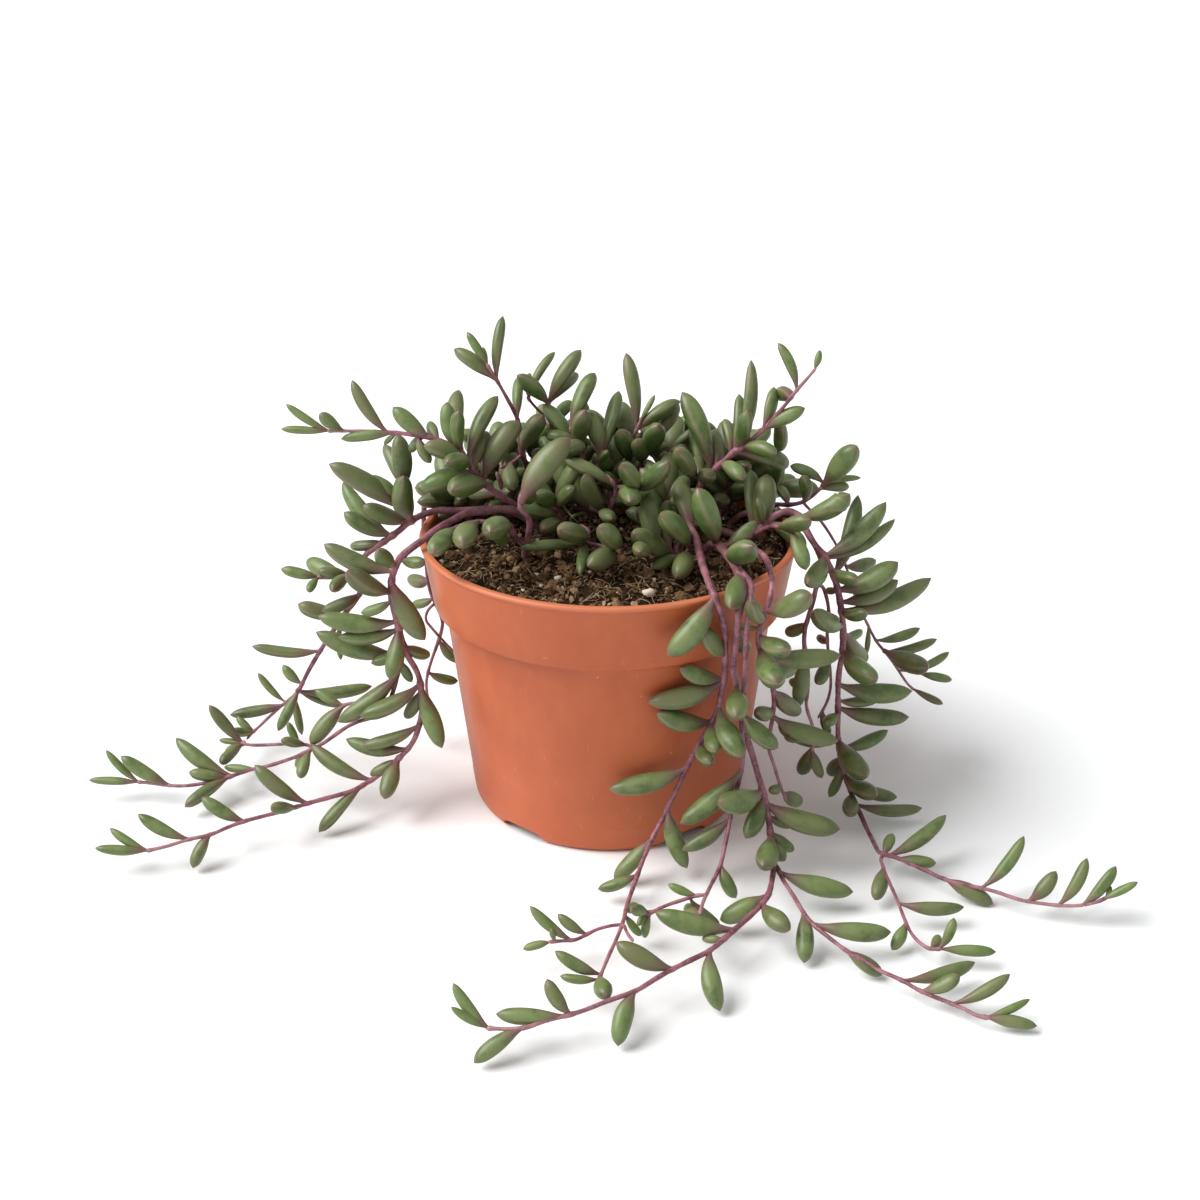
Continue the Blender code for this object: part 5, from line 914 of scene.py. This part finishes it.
def lathe(profile, steps):
    """Closed solid of a profile that starts and ends on the axis."""
    verts = [(0.0, 0.0, profile[0][1])]
    rings = profile[1:-1]
    ang = np.arange(steps) * 2 * pi / steps
    for r, z in rings:
        verts += [(r * cos(a), r * sin(a), z) for a in ang]
    verts.append((0.0, 0.0, profile[-1][1]))
    faces = []
    n = steps
    for i in range(n):
        faces.append((0, 1 + i, 1 + (i + 1) % n))
    for k in range(len(rings) - 1):
        a, b = 1 + k * n, 1 + (k + 1) * n
        for i in range(n):
            j = (i + 1) % n
            faces.append((a + i, b + i, b + j, a + j))
    a, last = 1 + (len(rings) - 1) * n, len(verts) - 1
    for i in range(n):
        faces.append((a + i, last, a + (i + 1) % n))
    return np.array(verts), faces


def make_pot():
    raw = [(0, 1.6), (42.6, 1.6), (43.9, 3.0), (51.1, 69.1), (55.0, 73.0), (56.4, 80.0), (57.4, 91.6),
           (58.0, 92.3), (59.3, 92.35), (60.0, 91.9), (60.0, 91.1), (59.35, 90.5), (57.2, 77.0), (56.2, 70.6), (52.7, 68.6),
           (45.9, 9.6), (45.95, 9.1), (45.1, 2.4), (44.2, 0.7), (42.9, 0), (0, 0)]
    rad = [0, 1.5, 1.5, 2.5, 2.5, 3.0, 0.3, 0.3, 0.35, 0.3, 0.25, 0.35, 3.0, 0.5, 0.45, 0.25, 0.25, 0.8, 0.7, 0.6, 0]
    prof = rounded(raw, rad)
    # long straight stretches are split so that the wall can be a little uneven
    fine = [prof[0]]
    for p in prof[1:]:
        d = np.linalg.norm(p - fine[-1])
        m = max(1, int(d // 7.0))
        a = fine[-1]
        for s in range(1, m + 1):
            fine.append(a + (p - a) * s / m)
    v, f = lathe(fine, 180)
    th = np.arctan2(v[:, 1], v[:, 0])
    r = np.hypot(v[:, 0], v[:, 1])
    wob = (0.10 * np.sin(2 * th + 0.6) + 0.05 * np.sin(5 * th + v[:, 2] * 0.03)) * np.clip((v[:, 2] - 5) / 60, 0, 1) * (r > 30)
    v[:, 0] += np.cos(th) * wob
    v[:, 1] += np.sin(th) * wob
    ob = new_mesh("pot_shell", v * MM, f, [pot_material()])
    V, F = [], []
    for i in range(5):
        a = radians(231.2) + i * 2 * pi / 5
        n = 64
        o = len(V)
        for rr in (39.0, 48.5):
            for k in range(n):
                t = 2 * pi * k / n
                y = 8.5 * np.sign(cos(t)) * abs(cos(t)) ** 0.62
                z = 3.8 * np.sign(sin(t)) * abs(sin(t)) ** 0.62
                V.append(((rr * cos(a) - y * sin(a)) * MM, (rr * sin(a) + y * cos(a)) * MM, z * MM))
        F.append([o + k for k in range(n)][::-1])
        F.append([o + n + k for k in range(n)])
        F += [(o + k, o + (k + 1) % n, o + n + (k + 1) % n, o + n + k) for k in range(n)]
    cut = new_mesh("slot_cut", V, F, [], smooth=False)
    bm = bmesh.new()
    bm.from_mesh(cut.data)
    bmesh.ops.recalc_face_normals(bm, faces=bm.faces)
    bm.to_mesh(cut.data)
    bm.free()
    bm = bmesh.new()
    bm.from_mesh(ob.data)
    bmesh.ops.recalc_face_normals(bm, faces=bm.faces)
    bm.to_mesh(ob.data)
    bm.free()
    b = ob.modifiers.new("slots", "BOOLEAN")
    b.operation = "DIFFERENCE"
    b.solver = "EXACT"
    b.object = cut
    bpy.context.view_layer.update()
    me = bpy.data.meshes.new_from_object(ob.evaluated_get(bpy.context.evaluated_depsgraph_get()))
    ob.modifiers.clear()
    ob.data = me
    me.shade_smooth()
    me.set_sharp_from_angle(angle=radians(38))
    bpy.data.objects.remove(cut)
    return ob


# ---------------------------------------------------------------- soil
def bump_field(x, y):
    """Height of the loose surface over soil_top, mm."""
    h = 0.0
    for s, a in ((0.16, 1.2), (0.42, 0.8), (1.1, 0.38)):
        h += a * noise.noise(Vector((x * s, y * s, 3.7 * s)))
    return h


def make_soil():
    rng = np.random.RandomState(11)
    n, m = 180, 58
    verts = [(0, 0, soil_top(0.0, 0.0) + bump_field(0, 0))]
    for k in range(1, m + 1):
        r = 56.55 * k / m
        for i in range(n):
            a = 2 * pi * i / n
            x, y = r * cos(a), r * sin(a)
            verts.append((x, y, soil_top(x, y) + bump_field(x, y) - 0.6))
    for r, z in ((56.1, 84.0), (54.4, 72.8), (50.8, 69.2), (43.5, 3.5), (42.2, 1.95)):
        verts += [(r * cos(2 * pi * i / n), r * sin(2 * pi * i / n), z) for i in range(n)]
    verts.append((0, 0, 1.95))
    faces = [(0, 1 + i, 1 + (i + 1) % n) for i in range(n)]
    rings = m + 5
    for k in range(rings - 1):
        a, b = 1 + k * n, 1 + (k + 1) * n
        faces += [(a + i, b + i, b + (i + 1) % n, a + (i + 1) % n) for i in range(n)]
    a = 1 + (rings - 1) * n
    faces += [(a + i, len(verts) - 1, a + (i + 1) % n) for i in range(n)]
    V = np.array(verts)
    col = np.zeros((len(V), 4))
    col[:, 0] = 0.25
    col[:, 3] = 1
    peat = soil_material("peat_bed", (0.009, 0.0045, 0.002), (0.045, 0.025, 0.013), (0.17, 0.10, 0.055))
    bed = new_mesh("soil_bed", V * MM, faces, [peat], attrs={"crumb": col})

    def spheres(level):
        bm = bmesh.new()
        bmesh.ops.create_icosphere(bm, subdivisions=level, radius=1.0)
        v = np.array([x.co[:] for x in bm.verts])
        f = [tuple(q.index for q in p.verts) for p in bm.faces]
        bm.free()
        return v, f
    small, big = spheres(1), spheres(2)

    def heap(name, count, size, mat, kind, lift, pale, flat=0.75, rmax=55.3, seed=0, lump=0.32, smooth=True):
        rg = np.random.RandomState(seed)
        V, F, C = [], [], []
        base_v, base_f = kind
        for q in range(count):
            r = rmax * sqrt(rg.rand())
            a = rg.rand() * 2 * pi
            x, y = r * cos(a), r * sin(a)
            s = size[0] + (size[1] - size[0]) * rg.rand() ** 2.2
            z = soil_top(x, y) + bump_field(x, y) - 0.6 + s * lift
            ax = np.array([1.0, 0.65 + 0.5 * rg.rand(), flat * (0.6 + 0.6 * rg.rand())]) * s
            R = Euler((rg.rand() * 6.3, (rg.rand() - 0.5) * 1.2, rg.rand() * 6.3)).to_matrix()
            R = np.array(R)
            v = base_v * (1.0 + lump * (rg.rand(len(base_v), 1) * 2 - 1))
            v = (v * ax) @ R.T + (x, y, z)
            o = len(V) * len(base_v)
            V.append(v)
            F += [tuple(o + i for i in f) for f in base_f]
            c = np.zeros((len(v), 4))
            c[:, 0] = rg.rand()
            c[:, 1] = pale * rg.rand() ** 3
            c[:, 3] = 1
            C.append(c)
        return new_mesh(name, np.vstack(V) * MM, F, [mat], attrs={"crumb": np.vstack(C)}, smooth=smooth)

    dark = soil_material("peat_crumbs", (0.010, 0.0045, 0.002), (0.190, 0.100, 0.046), (0.54, 0.36, 0.21))
    bark = soil_material("bark_bits", (0.15, 0.075, 0.036), (0.42, 0.26, 0.14), (0.72, 0.55, 0.37))
    pearl = soil_material("pale_grit", (0.50, 0.41, 0.29), (0.72, 0.63, 0.48), (0.86, 0.80, 0.68))
    out = [bed,
           heap("soil_crumbs_fine", 3000, (0.28, 0.85), dark, small, 0.35, 0.55, seed=1, smooth=False),
           heap("soil_crumbs_coarse", 620, (0.7, 2.0), dark, big, 0.22, 0.30, flat=0.62, seed=2, lump=0.40, smooth=False),
           heap("soil_bark", 430, (0.35, 1.6), bark, small, 0.5, 0.6, flat=0.3, seed=3, lump=0.3, smooth=False),
           heap("soil_grit", 130, (0.25, 0.9), pearl, big, 0.6, 0.5, seed=4, lump=0.2)]
    # four larger pale lumps that lie at the front of the soil
    V, F, C = [], [], []
    rg = np.random.RandomState(8)
    for (u, w, s) in ((649, 594, 1.9), (558, 575, 1.25), (536, 572, 1.3), (590, 566, 0.8)):
        d = sight(u, w)
        p = EYE + d * ((89.0 - EYE[2]) / d[2])
        x, y = p[0], p[1]
        z = soil_top(x, y) + bump_field(x, y) - 0.6 + s * 0.55
        v = big[0] * (1.0 + 0.2 * (rg.rand(len(big[0]), 1) * 2 - 1)) * np.array([1.0, 0.75, 0.7]) * s + (x, y, z)
        o = sum(len(q) for q in V)
        V.append(v)
        F += [tuple(o + i for i in f) for f in big[1]]
        c = np.zeros((len(v), 4))
        c[:, 0] = 0.8
        c[:, 1] = 0.4
        c[:, 3] = 1
        C.append(c)
    out.append(new_mesh("soil_pale_lumps", np.vstack(V) * MM, F, [pearl], attrs={"crumb": np.vstack(C)}))
    # fibres: thin bent threads half sunk in the surface
    V, F, C = [], [], []
    cnt = 0
    straw = soil_material("fibres", (0.20, 0.12, 0.065), (0.42, 0.29, 0.17), (0.62, 0.48, 0.31))
    for q in range(1100):
        r = 54.0 * sqrt(rng.rand())
        a = rng.rand() * 2 * pi
        x, y = r * cos(a), r * sin(a)
        L = 1.8 + 6.0 * rng.rand() ** 2
        th = rng.rand() * 6.3
        bend = (rng.rand() - 0.5) * 2.2
        rad = 0.08 + 0.14 * rng.rand() ** 2
        up = 0.15 + 0.9 * rng.rand() ** 2
        row = []
        pts = []
        px, py = x, y
        for s in range(6):
            t = s / 5.0
            ang = th + bend * (t - 0.5)
            if s:
                px += cos(ang) * L / 5
                py += sin(ang) * L / 5
            if hypot(px, py) > 55.2:
                break
            pts.append((px, py, soil_top(px, py) + bump_field(px, py) - 0.45 + up * (0.25 + sin(pi * t) * 0.7)))
        if len(pts) < 4:
            continue
        pts = np.array(pts)
        tan = np.gradient(pts, axis=0)
        tan /= np.linalg.norm(tan, axis=1)[:, None]
        sd = np.cross(tan, (0, 0, 1.0))
        sd /= np.linalg.norm(sd, axis=1)[:, None]
        nn = np.cross(sd, tan)
        o = cnt
        for i in range(len(pts)):
            w = rad * (0.45 if i in (0, len(pts) - 1) else 1.0)
            for k in range(4):
                V.append(pts[i] + w * (sd[i] * cos(k * pi / 2) + nn[i] * sin(k * pi / 2)))
        for i in range(len(pts) - 1):
            for k in range(4):
                F.append((o + i * 4 + k, o + i * 4 + (k + 1) % 4, o + (i + 1) * 4 + (k + 1) % 4, o + (i + 1) * 4 + k))
        F.append((o + 3, o + 2, o + 1, o))
        e = o + (len(pts) - 1) * 4
        F.append((e, e + 1, e + 2, e + 3))
        c = np.zeros((len(pts) * 4, 4))
        c[:, 0] = rng.rand()
        c[:, 1] = 0.5 * rng.rand()
        c[:, 3] = 1
        C.append(c)
        cnt += len(pts) * 4
    out.append(new_mesh("soil_fibres", np.array(V) * MM, F, [straw], attrs={"crumb": np.vstack(C)}))
    return out


# ---------------------------------------------------------------- leaves and stems
SIDES, RINGS = 18, 20
RING_T = np.concatenate(((0.0, 0.03), np.linspace(0.07, 0.88, RINGS - 7), (0.925, 0.955, 0.978, 0.991, 1.0)))
GIRTH_T = np.array((0.0, 0.05, 0.11, 0.18, 0.27, 0.38, 0.50, 0.61, 0.72, 0.81, 0.88, 0.935, 0.97, 0.988, 1.0))
GIRTH_F = np.array((0.23, 0.235, 0.29, 0.42, 0.62, 0.82, 0.955, 1.00, 0.975, 0.885, 0.74, 0.535, 0.30, 0.14, 0.03))


def leaf_mesh(i, plan, seed):
    rg = np.random.RandomState(seed)
    b, m, t = plan["base"][i], plan["mid"][i], plan["tip"][i]
    R = plan["girth"][i] * plan["slim"][i]
    young = float(np.clip((2.1 - R) / 0.9, 0, 1))
    plump = rg.uniform(0.80, 0.93)
    fore = 1.0 + rg.uniform(-0.07, 0.05)
    s = RING_T[:, None]
    c = (1 - s) ** 2 * b + 2 * s * (1 - s) * m + s * s * t
    ax = 2 * (1 - s) * (m - b) + 2 * s * (t - m)
    ax /= np.linalg.norm(ax, axis=1)[:, None]
    out = np.array((b[0], b[1], 0.0))
    out /= max(np.linalg.norm(out), 1e-6)
    ref = np.array((0, 0, 1.0)) + 0.55 * out + np.array((0.0, -0.25, 0.0)) + rg.normal(0, 0.22, 3)
    n2 = ref - ax * (ax @ ref)[:, None]
    n2 /= np.linalg.norm(n2, axis=1)[:, None]
    n1 = np.cross(ax, n2)
    phi = np.arange(SIDES) * 2 * pi / SIDES + pi / SIDES * 0
    f = np.interp(RING_T ** fore, GIRTH_T, GIRTH_F)
    ridge = 1.0 + 0.045 * np.cos(2 * phi) ** 2 - 0.085 * np.exp(-((phi - pi / 2) / 0.36) ** 2) \
        - 0.04 * np.exp(-((phi - 3 * pi / 2) / 0.5) ** 2)
    keel = np.clip(np.sin(RING_T * pi), 0, 1)[:, None]
    prof = 1.0 + (ridge[None, :] - 1.0) * keel
    lump = 1.0 + 0.018 * np.sin(3 * phi[None, :] + 7 * RING_T[:, None] + rg.rand() * 6) \
        + 0.020 * np.sin(9 * RING_T[:, None] + rg.rand() * 6)
    x = np.cos(phi)[None, :] * f[:, None] * R * prof * lump
    y = np.sin(phi)[None, :] * f[:, None] * R * prof * lump * (plump + (1 - plump) * (1 - keel))
    V = c[:, None, :] + n1[:, None, :] * x[..., None] + n2[:, None, :] * y[..., None]
    V = V.reshape(-1, 3)
    V = np.vstack((V, c[0:1], c[-1:] + ax[-1:] * R * 0.10))
    V[:, 2] = np.maximum(V[:, 2], 0.05)
    n = len(RING_T)
    F = []
    for a in range(n - 1):
        for k in range(SIDES):
            j = (k + 1) % SIDES
            F.append((a * SIDES + k, a * SIDES + j, (a + 1) * SIDES + j, (a + 1) * SIDES + k))
    F += [(n * SIDES, (k + 1) % SIDES, k) for k in range(SIDES)]
    o = (n - 1) * SIDES
    F += [(o + k, o + (k + 1) % SIDES, n * SIDES + 1) for k in range(SIDES)]
    A = np.zeros((len(V), 4))
    B = np.zeros((len(V), 4))
    A[:n * SIDES, 0] = np.repeat(RING_T, SIDES)
    A[n * SIDES, 0], A[-1, 0] = 0, 1
    A[:, 1] = rg.rand()
    # older, larger leaves are the most flushed; the rest varies at random
    A[:, 2] = np.clip(rg.beta(1.6, 2.4) + 0.18 * (1 - young), 0, 1)
    A[:, 3] = B[:, 3] = 1
    e = np.exp(-((np.abs(np.cos(phi)) - 1.0) / 0.012) ** 2)
    B[:n * SIDES, 0] = np.tile(e, n)
    # upper side of the leaf, turned up, outwards and towards the viewpoint; the leaf material paints highlight there
    B[:n * SIDES, 1] = np.tile(np.clip(np.sin(phi) * 0.7 + 0.45, 0, 1), n)
    B[:, 2] = young
    return V, F, A, B


def stem_mesh(pts, rad, joints, seed, root):
    rg = np.random.RandomState(seed)
    q = np.vstack((2 * pts[0] - pts[1], pts, 2 * pts[-1] - pts[-2]))
    P, S = [], []
    M = 4
    for i in range(1, len(q) - 2):
        a, b, c, d = q[i - 1], q[i], q[i + 1], q[i + 2]
        for k in range(M):
            t = k / M
            P.append(0.5 * (2 * b + (c - a) * t + (2 * a - 5 * b + 4 * c - d) * t * t + (3 * b - a - 3 * c + d) * t ** 3))
            S.append(i - 1 + t)
    P.append(q[-2])
    S.append(len(pts) - 1.0)
    P, S = np.array(P), np.array(S)
    r = np.interp(S, np.arange(len(pts)), rad)
    for s0 in joints:
        r = r * (1 + 0.20 * np.exp(-((S - s0) / 0.22) ** 2))
    r = r * (1 + 0.05 * np.sin(S * 1.7 + rg.rand() * 6) + 0.03 * np.sin(S * 4.1 + rg.rand() * 6))
    if root:
        P = np.vstack((P[0] - (0, 0, 5.0), P[0] - (0, 0, 2.5), P))
        r = np.concatenate(((r[0] * 1.15, r[0] * 1.1), r))
        S = np.concatenate(((0, 0), S))
    r[-1] *= 0.6
    n, m = len(P), 12
    tan = np.gradient(P, axis=0)
    tan /= np.linalg.norm(tan, axis=1)[:, None]
    u = np.cross(tan[0], (0.3, 0.5, 0.8))
    u /= np.linalg.norm(u)
    V = np.zeros((n, m, 3))
    ang = np.arange(m) * 2 * pi / m
    for i in range(n):
        u = u - tan[i] * (u @ tan[i])
        u /= np.linalg.norm(u)
        w = np.cross(tan[i], u)
        V[i] = P[i] + r[i] * (np.cos(ang)[:, None] * u + np.sin(ang)[:, None] * w)
    V = np.vstack((V.reshape(-1, 3), P[0:1], P[-1:] + tan[-1:] * r[-1] * 0.8))
    V[:, 2] = np.maximum(V[:, 2], 0.05)
    F = []
    for i in range(n - 1):
        for k in range(m):
            j = (k + 1) % m
            F.append((i * m + k, i * m + j, (i + 1) * m + j, (i + 1) * m + k))
    F += [(n * m, (k + 1) % m, k) for k in range(m)]
    o = (n - 1) * m
    F += [(o + k, o + (k + 1) % m, n * m + 1) for k in range(m)]
    A = np.zeros((len(V), 4))
    A[:n * m, 0] = np.repeat(S / max(S[-1], 1), m)
    A[-1, 0] = 1
    A[:, 1] = rg.rand()
    A[:, 2] = np.clip(1.0 - A[:, 0] * 5.0, 0, 1) * (0.8 if root else 0.0)
    A[:, 3] = 1
    return V, F, A


plan = fill_crown(lay_out())
flesh, skin = leaf_material(), stem_material()
pot = make_pot()
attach(pot, "root")
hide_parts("pot")
for i, ob in enumerate(make_soil()):
    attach(ob, "root")
    if i == 0:
        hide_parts("soil")

for si, name in enumerate(plan["names"]):
    V, F, A, B, C, I = [], [], [], [], [], []
    cnt = 0
    first = True
    for (s, a, b) in plan["stems"]:
        if s != si:
            continue
        joints = [plan["lk"][i] + plan["leaves"][i][2] - a for i in np.nonzero(plan["lsi"] == si)[0]
                  if a <= plan["lk"][i] < b]
        v, f, c = stem_mesh(plan["P"][a:b + 1], plan["R"][a:b + 1], joints, 7000 + a, first)
        first = False
        F += [tuple(cnt + q for q in p) for p in f]
        I += [0] * len(f)
        V.append(v)
        C.append(c)
        A.append(np.zeros((len(v), 4)))
        B.append(np.zeros((len(v), 4)))
        cnt += len(v)
    for i in np.nonzero(plan["lsi"] == si)[0]:
        v, f, a, b = leaf_mesh(i, plan, 100 + int(i))
        F += [tuple(cnt + q for q in p) for p in f]
        I += [1] * len(f)
        V.append(v)
        A.append(a)
        B.append(b)
        C.append(np.zeros((len(v), 4)))
        cnt += len(v)
    ob = new_mesh(name + "_growth", np.vstack(V) * MM, F, [skin, flesh], I,
                  {"stem": np.vstack(C), "leaf": np.vstack(A), "leafb": np.vstack(B)})
    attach(ob, "root")
    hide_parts(name)

# ---------------------------------------------------------------- floor, light, camera
def floor_material():
    k = Tree("paper_sweep")
    k.put(k.b.inputs["Base Color"], k.mix(k.span(k.noise(2.0, 2.0), 0.3, 0.7), (0.925, 0.940, 0.948), (0.940, 0.954, 0.962)))
    k.b.inputs["Roughness"].default_value = 0.9
    k.b.inputs["Specular IOR Level"].default_value = 0.1
    return k.mat


floor = new_mesh("floor", [(-60, -60, -0.00005), (60, -60, -0.00005), (60, 60, -0.00005), (-60, 60, -0.00005)], [(0, 1, 2, 3)], [floor_material()], smooth=False)

sun = bpy.data.lights.new("key", "SUN")
sun.energy = KEY
sun.angle = radians(KEY_SPREAD)
sun.color = (1.0, 0.995, 0.985)
so = bpy.data.objects.new("key", sun)
so.rotation_euler = (-Vector(KEY_DIR)).to_track_quat("Z", "Y").to_euler()
bpy.context.scene.collection.objects.link(so)

world = bpy.data.worlds.new("studio")
bpy.context.scene.world = world
world.use_nodes = True
world.node_tree.nodes["Background"].inputs[0].default_value = (1.0, 1.0, 1.0, 1.0)
world.node_tree.nodes["Background"].inputs[1].default_value = FILL
bpy.context.scene.view_settings.view_transform = "Standard"

cam = bpy.data.cameras.new("camera")
cam.lens = 48.0
cam.sensor_width = 36.0
co = bpy.data.objects.new("camera", cam)
co.location = tuple(EYE * MM)
co.rotation_euler = (pi / 2 - TILT, 0, 0)
bpy.context.scene.collection.objects.link(co)
bpy.context.scene.camera = co
